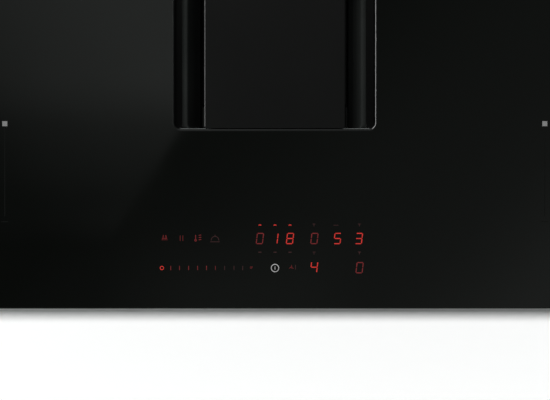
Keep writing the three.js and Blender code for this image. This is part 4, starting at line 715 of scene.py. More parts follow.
def lamp_material(name, colour):
    """A diode behind the glass: it glows by itself, a little unevenly along each bar."""
    material, tree, shader = new_material(name, 0.1, ior=1.52)
    shader.inputs["Base Color"].default_value = linear("#050202")
    spot = add(tree, "ShaderNodeTexCoord").outputs["Object"]
    glow = add(tree, "ShaderNodeTexNoise", {"Vector": spot, "Scale": 1 / (GLOW_PATCH * MM), "Detail": 1.0})
    level = add(tree, "ShaderNodeMapRange",
                {"Value": glow.outputs["Fac"], "From Min": NOISE_SPAN[0], "From Max": NOISE_SPAN[1],
                 "To Min": GLOW_LEVELS[0], "To Max": GLOW_LEVELS[1]})
    shader.inputs["Emission Color"].default_value = linear(colour)
    tree.links.new(level.outputs["Result"], shader.inputs["Emission Strength"])
    return material


BRIGHT = lamp_material("red diode, lit", "#CC3630")
SOFT = lamp_material("red diode, half lit", "#702628")
FAINT = lamp_material("red diode, dimmed", "#3C2425")
WHITE_LAMP = lamp_material("white diode, lit", "#ACACAC")
GREY_INK = ink_material("grey enamel print", "#7B7B7B")
FAINT_INK = ink_material("dark grey enamel print", "#080908")
print("lamps:", [lamp.name for lamp in (BRIGHT, SOFT, FAINT, WHITE_LAMP)])
print("inks:", [ink.name for ink in (GREY_INK, FAINT_INK)])

# %% Strokes
def stroke(points, width):
    """Quads along a line of points, each as wide as the stroke and reaching half a width past."""
    made, faces = [], []
    for (x0, y0), (x1, y1) in zip(points, points[1:]):
        length = math.hypot(x1 - x0, y1 - y0) or 1.0
        dx, dy = (x1 - x0) / length * width / 2, (y1 - y0) / length * width / 2
        start = len(made)
        made += [(x0 + dy, y0 - dx), (x1 + dy, y1 - dx), (x1 - dy, y1 + dx), (x0 - dy, y0 + dx)]
        faces.append(tuple(range(start, start + 4)))
    return made, faces


def ring(radius, sides=24, start=0.0, sweep=360.0):
    """Points round a circle or part of one."""
    angles = [math.radians(start + sweep * i / sides) for i in range(sides + 1)]
    return [(radius * math.cos(a), radius * math.sin(a)) for a in angles]


def draw(name, lines, width, centre, material):
    """A flat mark of strokes round a centre given as (from the middle, from the front edge)."""
    points, faces = [], []
    for line in lines:
        made, quads = stroke(line, width)
        faces += [tuple(i + len(points) for i in quad) for quad in quads]
        points += made
    z = glass_z1 + PRINT_LIFT
    whole = [(x + centre[0], y + FRONT + centre[1], z) for x, y in points]
    return make(name, whole, faces, "hob", material)


print("a ring of 24 strokes has", len(stroke(ring(1.0), 0.5)[1]), "quads")

# %% Zone marks
ZONE_ACROSS = 270.0
ZONE_DEPTHS = (185.0, 383.0)
MARK_SIZE = 5.0
GUIDE_NEAR, GUIDE_PAST, GUIDE_WIDTH = 92.5, 10.5, 0.8  # how far a guide runs before and past its mark
TICK_NEAR, TICK_LENGTH = 98.0, 7.0  # the cross stroke before it
for side, side_name in ((-1, "left"), (1, "right")):
    for turn, depth in zip((1, -1), ZONE_DEPTHS):
        end_name = "front" if turn > 0 else "rear"
        half = MARK_SIZE / 2
        where = (side * ZONE_ACROSS, depth)
        draw(f"zone_mark_{end_name}_{side_name}", [[(-half, 0), (half, 0)]], MARK_SIZE, where, GREY_INK)
        near, far, tick_y = turn * -GUIDE_NEAR, turn * GUIDE_PAST, turn * -TICK_NEAR
        lines = [[(0, near), (0, -turn * half)], [(0, turn * half), (0, far)]]
        lines.append([(-TICK_LENGTH / 2, tick_y), (TICK_LENGTH / 2, tick_y)])
        draw(f"zone_guide_{end_name}_{side_name}", lines, GUIDE_WIDTH, where, FAINT_INK)
print("zones", 2 * ZONE_ACROSS, "mm apart across and", ZONE_DEPTHS[1] - ZONE_DEPTHS[0], "mm in depth")

# %% Digits
DIGIT_HALF_X, DIGIT_HALF_Y = 3.1, 5.15
BAR = 0.95
BAR_SHARE = 0.86  # a bar stops this short of its corners
LEAN = 0.12  # sideways per unit of height
BARS = {"a": ((-1, 1), (1, 1)), "b": ((1, 1), (1, 0)), "c": ((1, 0), (1, -1)), "d": ((1, -1), (-1, -1)),
        "e": ((-1, -1), (-1, 0)), "f": ((-1, 0), (-1, 1)), "g": ((-1, 0), (1, 0))}
NUMERALS = {"0": "abcdef", "1": "bc", "3": "abcdg", "4": "bcfg", "5": "acdfg", "8": "abcdefg"}


def numeral(text):
    """The strokes of a leaning seven-bar digit, each a little short of its corners."""
    lines = []
    for bar in NUMERALS[text]:
        ends = [(x * DIGIT_HALF_X, y * DIGIT_HALF_Y) for x, y in BARS[bar]]
        middle = [(ends[0][i] + ends[1][i]) / 2 for i in range(2)]
        short = [[m + (e - m) * BAR_SHARE for e, m in zip(end, middle)] for end in ends]
        lines.append([(x + LEAN * y, y) for x, y in short])
    return lines


DIGIT_DEPTH = 70.2  # of the upper row, from the front edge
DIGITS = [("timer_0", "0", -14.9, DIGIT_DEPTH, SOFT), ("timer_1", "1", -0.3, DIGIT_DEPTH, BRIGHT),
          ("timer_8", "8", 15.2, DIGIT_DEPTH, BRIGHT), ("rear_left_0", "0", 39.6, DIGIT_DEPTH, SOFT),
          ("middle_5", "5", 62.7, DIGIT_DEPTH, BRIGHT), ("rear_right_3", "3", 84.1, DIGIT_DEPTH, BRIGHT),
          ("front_left_4", "4", 39.3, 41.5, BRIGHT), ("front_right_0", "0", 84.8, 41.0, SOFT)]
for name, text, x, depth, material in DIGITS:
    draw("digit_" + name, numeral(text), BAR, (x, depth), material)
print(len(DIGITS), "digits,", 2 * DIGIT_HALF_Y + BAR, "mm high")

# %% The slider's row
SLIDER_DEPTH = 40.7
TICK_SPAN = (-2.05, 2.15)
TICKS = [(-104.1, 0.66, SOFT), (-95.3, 0.62, SOFT), (-86.2, 0.62, SOFT), (-77.2, 0.62, SOFT),
         (-68.3, 0.74, SOFT), (-59.4, 0.44, SOFT), (-50.2, 0.6, FAINT), (-40.8, 0.6, FAINT),
         (-32.1, 0.55, FAINT)]  # place, width and lamp
SLIDER_END = [ring(0.9, 8), [(0.6, 0.2), (1.8, 0.9)]]
POWER_STROKE = [[(0, -1.5), (0, 0.8)], [(0, 1.4), (0, 1.9)]]
BLADE_FOOT, BLADE_TIP, BLADE_TURN = 0.5, (2.6, 2.4), 0.5
FAN_MARK = [[(BLADE_FOOT * math.cos(a), BLADE_FOOT * math.sin(a)),
             (BLADE_TIP[0] * math.cos(a + BLADE_TURN), BLADE_TIP[1] * math.sin(a + BLADE_TURN))]
            for a in [math.radians(120 * k - 60) for k in range(3)]]
# Each mark has its strokes, their width, its place and its lamp.
SLIDER_MARKS = [("slider_zero", [ring(1.75, 12)], 0.7, -112.9, 0.0, BRIGHT),
                ("slider_end", SLIDER_END, 0.4, -23.8, 0.4, SOFT),
                ("power_ring", [ring(3.75, 32)], 0.75, 0.2, 0.0, WHITE_LAMP),
                ("power_stroke", POWER_STROKE, 0.75, 0.2, 0.0, WHITE_LAMP),
                ("fan_symbol", FAN_MARK + [ring(0.7, 8)], 0.38, 16.6, 0.7, SOFT),
                ("fan_level", [[(0, -2.0), (0, 2.6)]], 0.6, 20.7, 0.5, FAINT)]
for i, (x, width, material) in enumerate(TICKS):
    draw(f"slider_tick_{i}", [[(0, y) for y in TICK_SPAN]], width, (x, SLIDER_DEPTH), material)
for name, lines, width, x, rise, material in SLIDER_MARKS:
    draw(name, lines, width, (x, SLIDER_DEPTH + rise), material)
pitch = (TICKS[-1][0] - TICKS[0][0]) / (len(TICKS) - 1)
print(len(TICKS), "ticks on the slider, about", round(pitch, 1), "mm apart")

# %% Arrows and bridges round the digits
ROW_ABOVE, TIMER_BELOW, BRIDGE_BELOW = 83.5, 56.5, 55.5
MORE_MARK = [[(-1.3, -0.3), (0, 0.6), (1.3, -0.3)]]
LESS_MARK = [[(-1.5, 0), (1.5, 0)]]
BRIDGE_MARK = [[(0, -1.2), (0, 1.2)], [(-1.4, 1.2), (1.4, 1.2)]]
for i, x in enumerate((-14.9, 0.2, 15.2)):
    draw(f"timer_more_{i}", MORE_MARK, 0.95, (x, ROW_ABOVE), BRIGHT)
    draw(f"timer_less_{i}", LESS_MARK, 0.85, (x, TIMER_BELOW), FAINT)
for height_name, depth in (("upper", ROW_ABOVE), ("lower", BRIDGE_BELOW)):
    for side_name, x in (("left", 39.2), ("right", 84.6)):
        draw(f"bridge_{height_name}_{side_name}", BRIDGE_MARK, 0.55, (x, depth), FAINT)
draw("bridge_middle", [[(-2.5, 0), (2.5, 0)]], 0.5, (61.2, ROW_ABOVE), FAINT)
print("marks", ROW_ABOVE - TIMER_BELOW, "mm apart above and below the timer")

# %% Small symbols
ICON_DEPTH = 70.5
LOCK_ICON = [[(-2.5, -2.3), (-1.9, 0.6), (-1.2, 3.0), (-0.9, 0.6), (-0.6, -2.3)],
             [(2.5, -2.3), (1.9, 0.6), (1.2, 3.0), (0.9, 0.6), (0.6, -2.3)], [(-2.4, -0.6), (2.4, -0.6)]]
PAUSE_ICON = [[(x, -2.8), (x, 2.8)] for x in (-1.35, 1.35)]
WARM_ICON = [[(-1.8, -1.2), (-1.8, 3.2)], [(x - 1.8, y - 2.0) for x, y in ring(0.9, 10)],
             [(1.4, 2.8), (3.8, 3.2)], [(1.4, 0.6), (3.8, 1.0)], [(1.4, -1.6), (3.8, -1.2)]]
BELL_ICON = [[(-4.6, -3.6), (4.6, -3.6)], [(x, 1.1 * y - 2.4) for x, y in ring(3.9, 12, 0, 180)],
             [(0, 2.2), (0, 3.4)]]
ICONS = [("icon_childlock", LOCK_ICON, 0.42, -110.2, 0.2, SOFT),
         ("icon_pause", PAUSE_ICON, 0.42, -93.3, 0.0, SOFT),
         ("icon_warming", WARM_ICON, 0.75, -77.4, 0.0, SOFT),
         ("icon_bell", BELL_ICON, 0.6, -59.8, 0.0, FAINT)]
for name, lines, width, x, rise, material in ICONS:
    draw(name, lines, width, (x, ICON_DEPTH + rise), material)
print(len(ICONS), "icons")

# %% [markdown]
# ## Everything under the glass
# The solids below keep their packed forms. Pressed sheet and mouldings get rounded edges, and each gets
# the finish of what it is made from. Sheet that was dipped in molten zinc shows crystals, plated screws
# don't, and the filter's foil is slit and stretched to a net of diamonds, so those three are drawn apart.

# %% Zinc
CRYSTAL = 7.0  # mm across one crystal of zinc
ZINC_TONES, ZINC_GLOSS = ("#A0A4A6", "#B2B6B8"), (0.32, 0.46)
ZINC_HAZE, HAZE_DEPTH = 0.8, 0.003


def galvanised():
    """Hot-dipped sheet: each crystal of zinc mirrors the light a little differently, like frost."""
    material, tree, shader = new_material("galvanised steel sheet", 0.36, metallic=1.0)
    spot = add(tree, "ShaderNodeTexCoord").outputs["Object"]
    cells = add(tree, "ShaderNodeTexVoronoi", {"Vector": spot, "Scale": 1 / (CRYSTAL * MM)})
    chance = add(tree, "ShaderNodeSeparateColor", {"Color": cells.outputs["Color"]})
    tone = add(tree, "ShaderNodeMix", {0: chance.outputs["Red"], 6: linear(ZINC_TONES[0]),
                                       7: linear(ZINC_TONES[1])}, data_type="RGBA")
    dull = add(tree, "ShaderNodeMapRange", {"Value": chance.outputs["Green"], "To Min": ZINC_GLOSS[0],
                                            "To Max": ZINC_GLOSS[1]})
    haze = add(tree, "ShaderNodeTexNoise", {"Vector": spot, "Scale": 1 / (ZINC_HAZE * MM), "Detail": 4.0})
    relief = add(tree, "ShaderNodeBump",
                 {"Height": haze.outputs["Fac"], "Distance": HAZE_DEPTH * MM, "Strength": 1.0})
    tree.links.new(tone.outputs[2], shader.inputs["Base Color"])
    tree.links.new(dull.outputs["Result"], shader.inputs["Roughness"])
    tree.links.new(relief.outputs["Normal"], shader.inputs["Normal"])
    return material


SHEET = galvanised()
# Plating from a bath is too thin to crystallise: it is even and bright, with faint turning marks.
PLATED = finish("zinc-plated steel, turned", ("#A6A9AB", "#B6B9BB"), (0.24, 0.34), 0.5, 0.002, metallic=1.0,
                patch=14)
print("zinc crystals of", CRYSTAL, "mm")

# %% Expanded foil
NET_PITCH = 2.6  # mm between the net's strands; a real one is 1.5 mm, too fine to show
NET_LEAN = 28  # degrees that the strands lean to each side
WAVE_FACTOR = 20  # a wave node takes the sine of 20 times the scaled place
STRAND = (0.62, 0.86)  # where a strand's edge starts and ends on the waves
STRAND_DEPTH = 0.3
# painted shade: the first tone fills the diamond openings with the dark seen through them, the second is
# the strands
FOIL_SHADE_AND_STRAND = ("#0C0C0D", "#B8BBBD")


def expanded_foil():
    """Slit and stretched aluminium foil: bright strands round diamond openings painted dark as the shade
    seen through them, so it glitters like a net.
    """
    material, tree, shader = new_material("expanded aluminium foil", 0.34, metallic=1.0)
    spot = add(tree, "ShaderNodeTexCoord").outputs["Object"]
    waves = []
    for lean in (NET_LEAN, -NET_LEAN):
        turned = add(tree, "ShaderNodeMapping", {"Vector": spot, "Rotation": (0, 0, math.radians(lean))})
        wave = add(tree, "ShaderNodeTexWave",
                   {"Vector": turned.outputs["Vector"],
                    "Scale": math.tau / (WAVE_FACTOR * NET_PITCH * MM)},
                   bands_direction="Y")
        waves.append(wave.outputs["Fac"])
    net = add(tree, "ShaderNodeMath", {0: waves[0], 1: waves[1]}, operation="MAXIMUM")
    strand = add(tree, "ShaderNodeMapRange",
                 {"Value": net.outputs["Value"], "From Min": STRAND[0], "From Max": STRAND[1]})
    tone = add(tree, "ShaderNodeMix", {0: strand.outputs["Result"], 6: linear(FOIL_SHADE_AND_STRAND[0]),
                                       7: linear(FOIL_SHADE_AND_STRAND[1])}, data_type="RGBA")
    relief = add(tree, "ShaderNodeBump",
                 {"Height": strand.outputs["Result"], "Distance": STRAND_DEPTH * MM, "Strength": 1.0})
    tree.links.new(tone.outputs[2], shader.inputs["Base Color"])
    tree.links.new(relief.outputs["Normal"], shader.inputs["Normal"])
    return material


FOIL = expanded_foil()
print("foil net of", NET_PITCH, "mm")

# %% Finishes under the glass
# Rolled aluminium keeps fine lines along the way it was rolled, which draw its gloss out.
ALUMINIUM = finish("aluminium, mill finish", ("#B4B7BA", "#C6C8CA"), (0.26, 0.42), 0.5, 0.002,
                   stretch=(1, 12, 1), metallic=1.0)
# Moulded plastics take the fine pits of a spark-eroded mould: soft highlights, never a sharp one.
GREY_NYLON = finish("grey polypropylene, moulded", ("#3A3D40", "#44474A"), (0.42, 0.56), 0.6, 0.012)
BLACK_NYLON = finish("black polypropylene, moulded", ("#141616", "#1B1D1D"), (0.38, 0.54), 0.6, 0.014)
WHITE_NYLON = finish("white polyamide, moulded", ("#CFCFC9", "#DBDBD5"), (0.4, 0.5), 0.6, 0.008)
# Litz under its enamel is copper seen through a brownish varnish, with the strands as a fine relief.
COPPER = finish("copper litz, enamelled", ("#8E4524", "#A8552E"), (0.30, 0.48), 0.9, 0.05, metallic=0.85)
# Sintered ferrite is a dull charcoal ceramic, and foam and silicone hardly mirror at all.
FERRITE = finish("ferrite, sintered", ("#242426", "#303033"), (0.55, 0.75), 0.8, 0.02)
FOAM = finish("closed-cell foam", ("#1E1E1E", "#2C2C2C"), (0.85, 0.98), 0.9, 0.12)
SILICONE = finish("silicone rubber, moulded", ("#1C1C1C", "#242424"), (0.6, 0.75), 0.7, 0.01)
# The boards' solder mask is a glossy green lacquer, mottled by the copper tracks that it covers.
BOARD = finish("circuit board, solder mask", ("#184A2D", "#225F3B"), (0.28, 0.5), 0.9, 0.03, patch=8)
# A cast lens is smooth and deep red. Shrunk vinyl is glossy, and potted parts are matt as they set.
LENS_RED = finish("red acrylic lens", ("#3C0C0A", "#4C120E"), (0.18, 0.3), 0.8, 0.003, ior=1.49)
SLEEVE_BLUE = finish("shrunk vinyl sleeve, blue", ("#141F38", "#1A2848"), (0.3, 0.4), 0.8, 0.01)
FILM_GREY = finish("potted film capacitor, grey epoxy", ("#7F8384", "#8D9192"), (0.45, 0.6), 0.7, 0.02)
RELAY_BLACK = finish("relay case, black polyester", ("#101112", "#18191A"), (0.3, 0.42), 0.7, 0.01)
BY_SLOT = {"zinc_steel": SHEET, "aluminium": ALUMINIUM, "grey_plastic": GREY_NYLON, "copper": COPPER,
           "black_plastic": BLACK_NYLON, "white_plastic": WHITE_NYLON, "ferrite": FERRITE, "foam": FOAM,
           "silicone": SILICONE, "circuit_board": BOARD, "red_display": LENS_RED, "black_glass": GLASS,
           "dark_metal": ANODISED, "satin_black_metal": POWDER}
OWN_FINISH = {"filter_frame": POWDER, "filter_mesh": FOIL, "motor_body": PLATED, "motor_shaft": PLATED}


def finish_of(node):
    """The finish of a carried-over node: its own, or that of its slot."""
    return OWN_FINISH.get(node, BY_SLOT[SLOT_OF[node]])


for node, piece in NODES.items():
    piece.data.materials.clear()
    piece.data.materials.append(finish_of(node))
print(len(bpy.data.materials), "finishes for", len(NODES), "nodes")

# %% Rounded copies
# How far each node's edges are rounded, in millimetres.
ROUNDED = {"rim_seal": 0.5, "cover_carrier": 0.4, "cover_pad_front": 0.4, "cover_pad_rear": 0.4,
           "filter_frame": 0.4, "filter_mesh": 0.5, "drip_tray": 1.0, "intake_box": 0.8, "sump_cover": 0.8,
           "casing_pan": 0.35, "scroll_housing": 0.8, "scroll_lid": 0.6, "inlet_ring": 0.5, "impeller": 0.3,
           "motor_body": 0.8, "motor_shaft": 0.3, "duct_base": 0.8, "duct_cover": 0.7,
           "outlet_spigot": 0.7, "damper_upper": 0.4, "damper_lower": 0.4, "terminal_box": 0.9,
           "terminal_lid": 0.7, "terminal_block": 0.5, "display_holder": 0.6, "display_board": 0.2,
           "timer_display": 0.4, "zone_display": 0.4}
PAIRED = {"fan_frame": 0.6, "fan_rotor": 0.3, "heat_sink": 0.3, "coil_plate": 0.3}
FOURFOLD = {"coil_carrier": 0.6, "clamp_bracket": 0.35}
for side in ("left", "right"):
    ROUNDED.update({f"{kind}_{side}": width for kind, width in PAIRED.items()})
    for kind, width in FOURFOLD.items():
        ROUNDED.update({f"{kind}_{row}_{side}": width for row in ("front", "rear")})
for node, width in ROUNDED.items():
    rounded_copy(node, width, finish_of(node))
print(len(ROUNDED), "rounded copies")

# %% [markdown]
# ## Turned, swept and pressed fittings
# Seen from the side or from below, the hob is sheet steel and mouldings that small things hold together:
# screws, rivets, clips, ribs and lips. They could each be modelled by hand, but they repeat, so five
# helpers draw them: a turned solid, a rounded block, a section swept along a wall, an upright rib and a
# pressed bead. All of one kind on one body become one piece.

# %% Turned solids and blocks
def spun(section, centre, axis, sides=24, lobes=6, bored=False):
    """A turned solid about an axis, from (radius, height, depth of lobes); bored closes it as a ring."""
    up = Vector(axis)
    over = Vector((0, 0, 1)) if abs(up.z) < 0.5 else Vector((0, 1, 0))
    across = over.cross(up)
    loops = []
    for radius, height, lobe in section:
        loops.append([])
        for i in range(sides):
            angle = 2 * math.pi * i / sides
            reach = radius * (1 + lobe * math.cos(lobes * angle))
            turned = (across * math.cos(angle) + over * math.sin(angle)) * reach
            loops[-1].append(tuple(Vector(centre) + turned + up * height))
    return join_loops(loops, wrap=bored, cap=not bored)


def block(low, high, corner=0.8, edge=0.4):
    """A block between two corners, with rounded upright edges and bevelled ends."""
    half = [(b - a) / 2 for a, b in zip(low, high)]
    middle = [(a + b) / 2 for a, b in zip(low[:2], high[:2])]
    edge = min(edge, 0.6 * min(half))
    corner = min(corner, 0.98 * min(half[:2]))
    levels = [(edge, 0.0), (0.3 * edge, 0.3 * edge), (0.0, edge)]
    section = [(inset, low[2] + rise) for inset, rise in levels]
    section += [(inset, high[2] - rise) for inset, rise in levels[::-1]]
    loops = [loop(half[0] - inset, half[1] - inset, max(corner - inset, 0.02), z, middle, 3)
             for inset, z in section]
    return join_loops(loops, cap=True)


print("a plain block has", len(block((0, 0, 0), (10, 10, 10))[1]), "faces")

# %% Lips, ribs and beads
BEAD = [(1.0, -0.1), (0.9, 0.1), (0.76, 0.5), (0.6, 0.86), (0.42, 1.0)]  # shares of its width and height


def sweep(path, section, closed=False):
    """A section of (outward, z) points along a plan line; outward is on the line's right."""
    loops = []
    for i, (x, y) in enumerate(path):
        x0, y0 = path[i - 1] if i or closed else path[0]
        x1, y1 = path[(i + 1) % len(path)] if i < len(path) - 1 or closed else path[-1]
        length = math.hypot(x1 - x0, y1 - y0)
        side_x, side_y = (y1 - y0) / length, (x0 - x1) / length
        loops.append([(x + side_x * out, y + side_y * out, z) for out, z in section])
    return join_loops(loops, wrap=closed, cap=not closed)


def rib(foot, normal, half, out, low, high):
    """A moulded rib on an upright wall: thin outside and sloped at its ends, so it leaves the mould."""
    (x, y), (nx, ny) = foot, normal
    levels = ((-0.3, half, 0.0), (0.8 * out, 0.8 * half, 0.5 * out), (out, 0.5 * half, out))
    loops = []
    for depth, width, trim in levels:
        corners = [(-width, low + trim), (width, low + trim), (width, high - trim), (-width, high - trim)]
        loops.append([(x + nx * depth - ny * side, y + ny * depth + nx * side, z) for side, z in corners])
    return join_loops(loops, cap=True)


def bead(centre, axis, along, half_length, half_width, height):
    """A pressed bead on a sheet: a long low dome with round ends."""
    up, run = Vector(axis), Vector(along)
    over = up.cross(run)
    loops = []
    for width, rise in BEAD:
        ends = [(side * (half_length - half_width), side * width * half_width) for side in (1, -1)]
        turn = [math.radians(-90 + 180 * i / 8) for i in range(9)]
        loops.append([tuple(Vector(centre) + run * (at + reach * math.cos(a)) + over * reach * math.sin(a)
                            + up * rise * height) for at, reach in ends for a in turn])
    return join_loops(loops, cap=True)


def fit(name, parts, body, material, slot, replaces=()):
    """Merges parts of (points, faces) into one piece."""
    points, faces = [], []
    for made, quads in parts:
        faces += [tuple(i + len(points) for i in quad) for quad in quads]
        points += made
    return make(name, points, faces, body, material, replaces)


print("a rib has", len(rib((0, 0), (1, 0), 1.0, 2.0, 0.0, 10.0)[1]), "faces")

# %% Screws and rivets
MOULDING = ("hob", BLACK_NYLON, "black_plastic")  # body, finish and slot of most fittings
PRESSED = ("hob", SHEET, "zinc_steel")
SCREWED = ("hob", PLATED, "zinc_steel")
PAN_HEAD = [(1.0, -0.4, 0), (1.0, 0.15, 0), (0.93, 0.4, 0), (0.75, 0.58, 0), (0.52, 0.64, 0),
            (0.46, 0.62, 0.16), (0.42, 0.25, 0.16)]  # radius and height in head radii, depth of lobes
BLIND_RIVET = [(1.0, -0.3, 0), (1.0, 0.05, 0), (0.86, 0.34, 0), (0.56, 0.5, 0), (0.34, 0.54, 0),
               (0.3, 0.3, 0)]


def heads(shape, radius, spots):
    """Screw or rivet heads of one size at (place, axis) spots."""
    section = [(r * radius, h * radius, lobe) for r, h, lobe in shape]
    return [spun(section, centre, axis) for centre, axis in spots]


print("a pan head has", len(heads(PAN_HEAD, 3.0, [((0, 0, 0), (0, 0, 1))])[0][1]), "faces")

# %% [markdown]
# ## The pan and its clamps
# The pan is folded from galvanised sheet. Flat sheet drums and buckles, so its walls and floor carry
# pressed beads, and its corners are closed by tabs with blind rivets. Screws hold the frame under the
# glass, and the clamps at the sides pull the hob down on the worktop with long knurled screws.

# %% Pan
X_AXIS, Y_AXIS, Z_AXIS = (1, 0, 0), (0, 1, 0), (0, 0, 1)
FRONT_AXIS, DOWN_AXIS = (0, -1, 0), (0, 0, -1)
PAN_FLANGE = 3.0
pan_low, pan_high = box_mm("casing_pan")
wall_x, wall_y, pan_z0 = pan_high[0] - PAN_FLANGE, pan_high[1] - PAN_FLANGE, pan_low[2]
WALL_BEAD = (5.0, 0.9)  # half width and height
FLOOR_BEAD = (6.0, 1.0)
BEAD_Z = 190.0
FRONT_BEADS, FRONT_BEAD_HALF = (-270, -90, 90, 270), 70
REAR_BEAD_HALF = 150
SIDE_BEADS = [(0, 95), (193, 20), (-193, 20)]  # place along the side, and half length
FLOOR_BEADS = [(-365, -30, 120), (-235, 30, 165), (-165, 30, 165), (-125, 30, 165), (368, 30, 165)]
beads = [bead((x, -wall_y, BEAD_Z), FRONT_AXIS, X_AXIS, FRONT_BEAD_HALF, *WALL_BEAD) for x in FRONT_BEADS]
beads.append(bead((0, wall_y, BEAD_Z), Y_AXIS, X_AXIS, REAR_BEAD_HALF, *WALL_BEAD))
for side in (-1, 1):
    for y, half in SIDE_BEADS:
        beads.append(bead((side * wall_x, y, BEAD_Z), (side, 0, 0), Y_AXIS, half, *WALL_BEAD))
for x, y, half in FLOOR_BEADS:
    beads.append(bead((x, y, pan_z0), DOWN_AXIS, Y_AXIS, half, *FLOOR_BEAD))
fit("pan_beads", beads, *PRESSED)
print(len(beads), "beads in the pan")

# %% Tabs, rivets and screws on the pan
TAB_SHEET, TAB_START, TAB_SPAN = 0.8, 222, (166, 212)
RIVET_SIZE, RIVET_Y, RIVET_HEIGHTS = 2.6, 231, (176, 189, 202)
FRAME_SCREW_SIZE, FRAME_SCREW_Z = 3.0, 209.0
SIDE_SCREWS, END_SCREWS = (-200, 0, 200), (-380, -190, 0, 190, 380)
BRACKET_SCREW_SIZE, BRACKET_X, BRACKET_Z = 2.6, 401.25, 188.0
tabs, rivets, frame_screws = [], [], []
for side in (-1, 1):
    for end in (-1, 1):
        x0, x1 = sorted((side * wall_x, side * (wall_x + TAB_SHEET)))
        y0, y1 = sorted((end * TAB_START, end * (wall_y - 1)))
        tabs.append(block((x0, y0, TAB_SPAN[0]), (x1, y1, TAB_SPAN[1]), 0.1, 0.3))
        rivets += [((side * (wall_x + TAB_SHEET), end * RIVET_Y, z), (side, 0, 0)) for z in RIVET_HEIGHTS]
    frame_screws += [((side * wall_x, y, FRAME_SCREW_Z), (side, 0, 0)) for y in SIDE_SCREWS]
    frame_screws += [((x, side * wall_y, FRAME_SCREW_Z), (0, side, 0)) for x in END_SCREWS]
bracket_screws = [((side * BRACKET_X, row * 150 + step, BRACKET_Z), (side, 0, 0))
                  for side in (-1, 1) for row in (-1, 1) for step in (-6, 6)]
fit("pan_corner_tabs", tabs, *PRESSED)
fit("pan_rivets", heads(BLIND_RIVET, RIVET_SIZE, rivets), "hob", ALUMINIUM, "aluminium")
fit("frame_screws", heads(PAN_HEAD, FRAME_SCREW_SIZE, frame_screws), *SCREWED)
fit("bracket_screws", heads(PAN_HEAD, BRACKET_SCREW_SIZE, bracket_screws), *SCREWED)
print(len(rivets), "rivets,", len(frame_screws) + len(bracket_screws), "screws")

# %% Clamp screws
THREAD_PITCH = 1.5  # a real M5 thread is 0.8 mm, too fine to show here
THREAD_TURN = [(2.1, 0.0), (2.5, 0.45), (2.5, 0.7), (2.1, 1.1)]  # radius, and height in the turn
HEAD_SECTION = [(2.2, 2.6, 0.16), (2.4, 0.2, 0.16), (3.0, 0.0, 0), (4.5, 0.3, 0), (5.2, 1.0, 0),
                (5.4, 2.0, 0), (5.4, 4.5, 0), (5.0, 5.0, 0), (2.5, 5.0, 0)]
SHANK_START, SHANK_END = 5.0, 25.0
TIP_SECTION = [(2.2, 25.0, 0), (3.7, 25.0, 0), (4.0, 25.3, 0), (4.0, 27.6, 0), (3.6, 28.0, 0)]
KNURLS, KNURL_FOOT, KNURL_SPAN = 18, 5.3, (1.6, 4.8)
thread = []
for turn in range(int((SHANK_END - SHANK_START) / THREAD_PITCH)):
    at = SHANK_START + THREAD_PITCH * (turn + 0.3)
    thread += [(radius, at + rise, 0) for radius, rise in THREAD_TURN]
for row in ("front", "rear"):
    for side in ("left", "right"):
        node = f"clamp_screw_{row}_{side}"
        low, high = box_mm(node)
        x, y, z = (low[0] + high[0]) / 2, (low[1] + high[1]) / 2, low[2]
        parts = [spun(HEAD_SECTION + thread + TIP_SECTION, (x, y, z), Z_AXIS)]
        for i in range(KNURLS):
            angle = math.tau * i / KNURLS
            out = (math.cos(angle), math.sin(angle))
            foot = (x + KNURL_FOOT * out[0], y + KNURL_FOOT * out[1])
            parts.append(rib(foot, out, 0.6, 0.45, z + KNURL_SPAN[0], z + KNURL_SPAN[1]))
        fit(node + "_threaded", parts, BODY_OF[node], PLATED, SLOT_OF[node], (node,))
print("clamp screws with", len(thread) // len(THREAD_TURN), "turns of thread")

# %% [markdown]
# ## The blower's scroll
# The scroll is moulded in two halves that meet in a flange with bosses for screws. Upright ribs stiffen
# its wall, or the fan would make it hum. The wall is a spiral, so a small function gives a point and
# the outward direction for each angle, and everything on the wall is placed by that.

# %% Scroll
SCROLL_AXIS = (245.0, -15.0)
TONGUE = 50.0  # degrees; the spiral starts here
SCROLL_START, SCROLL_GROWTH = 95.5, 48.0  # its radius there, and its growth over the turn
RIGHT_WALL_X, OUTLET_FRONT = 388.5, 199.5
SLANT = [(152.5, 199.5), (152.5, 178.6), (300.5, 56.6)]  # the wall from the outlet back to the tongue
SLANT_FOOT, SLANT_END = Vector(SLANT[1]), Vector(SLANT[2])
JOINT_LIP = [(-0.5, 86.0), (2.2, 86.0), (2.6, 86.4), (2.6, 90.9), (2.3, 91.25), (-0.5, 91.25)]
LID_LIP = [(-0.5, 91.5), (2.2, 91.5), (2.6, 91.8), (2.6, 93.6), (2.2, 94.0), (-0.5, 94.0)]


def on_scroll(angle, grow=0.0):
    """A point on the scroll's wall at an angle in degrees about its axis, and the way out."""
    radius = SCROLL_START + SCROLL_GROWTH * (angle - TONGUE) / (360 - TONGUE) + grow
    out = (math.cos(math.radians(angle)), math.sin(math.radians(angle)))
    return (SCROLL_AXIS[0] + radius * out[0], SCROLL_AXIS[1] + radius * out[1]), out


spiral = [on_scroll(56 + 4 * i)[0] for i in range(77)] + [(RIGHT_WALL_X, OUTLET_FRONT)]
for name, section in (("scroll_lip", JOINT_LIP), ("scroll_lid_lip", LID_LIP)):
    fit(name, [sweep(line, section) for line in (spiral, SLANT)], *MOULDING)
print("lips along", len(spiral) + len(SLANT), "points")

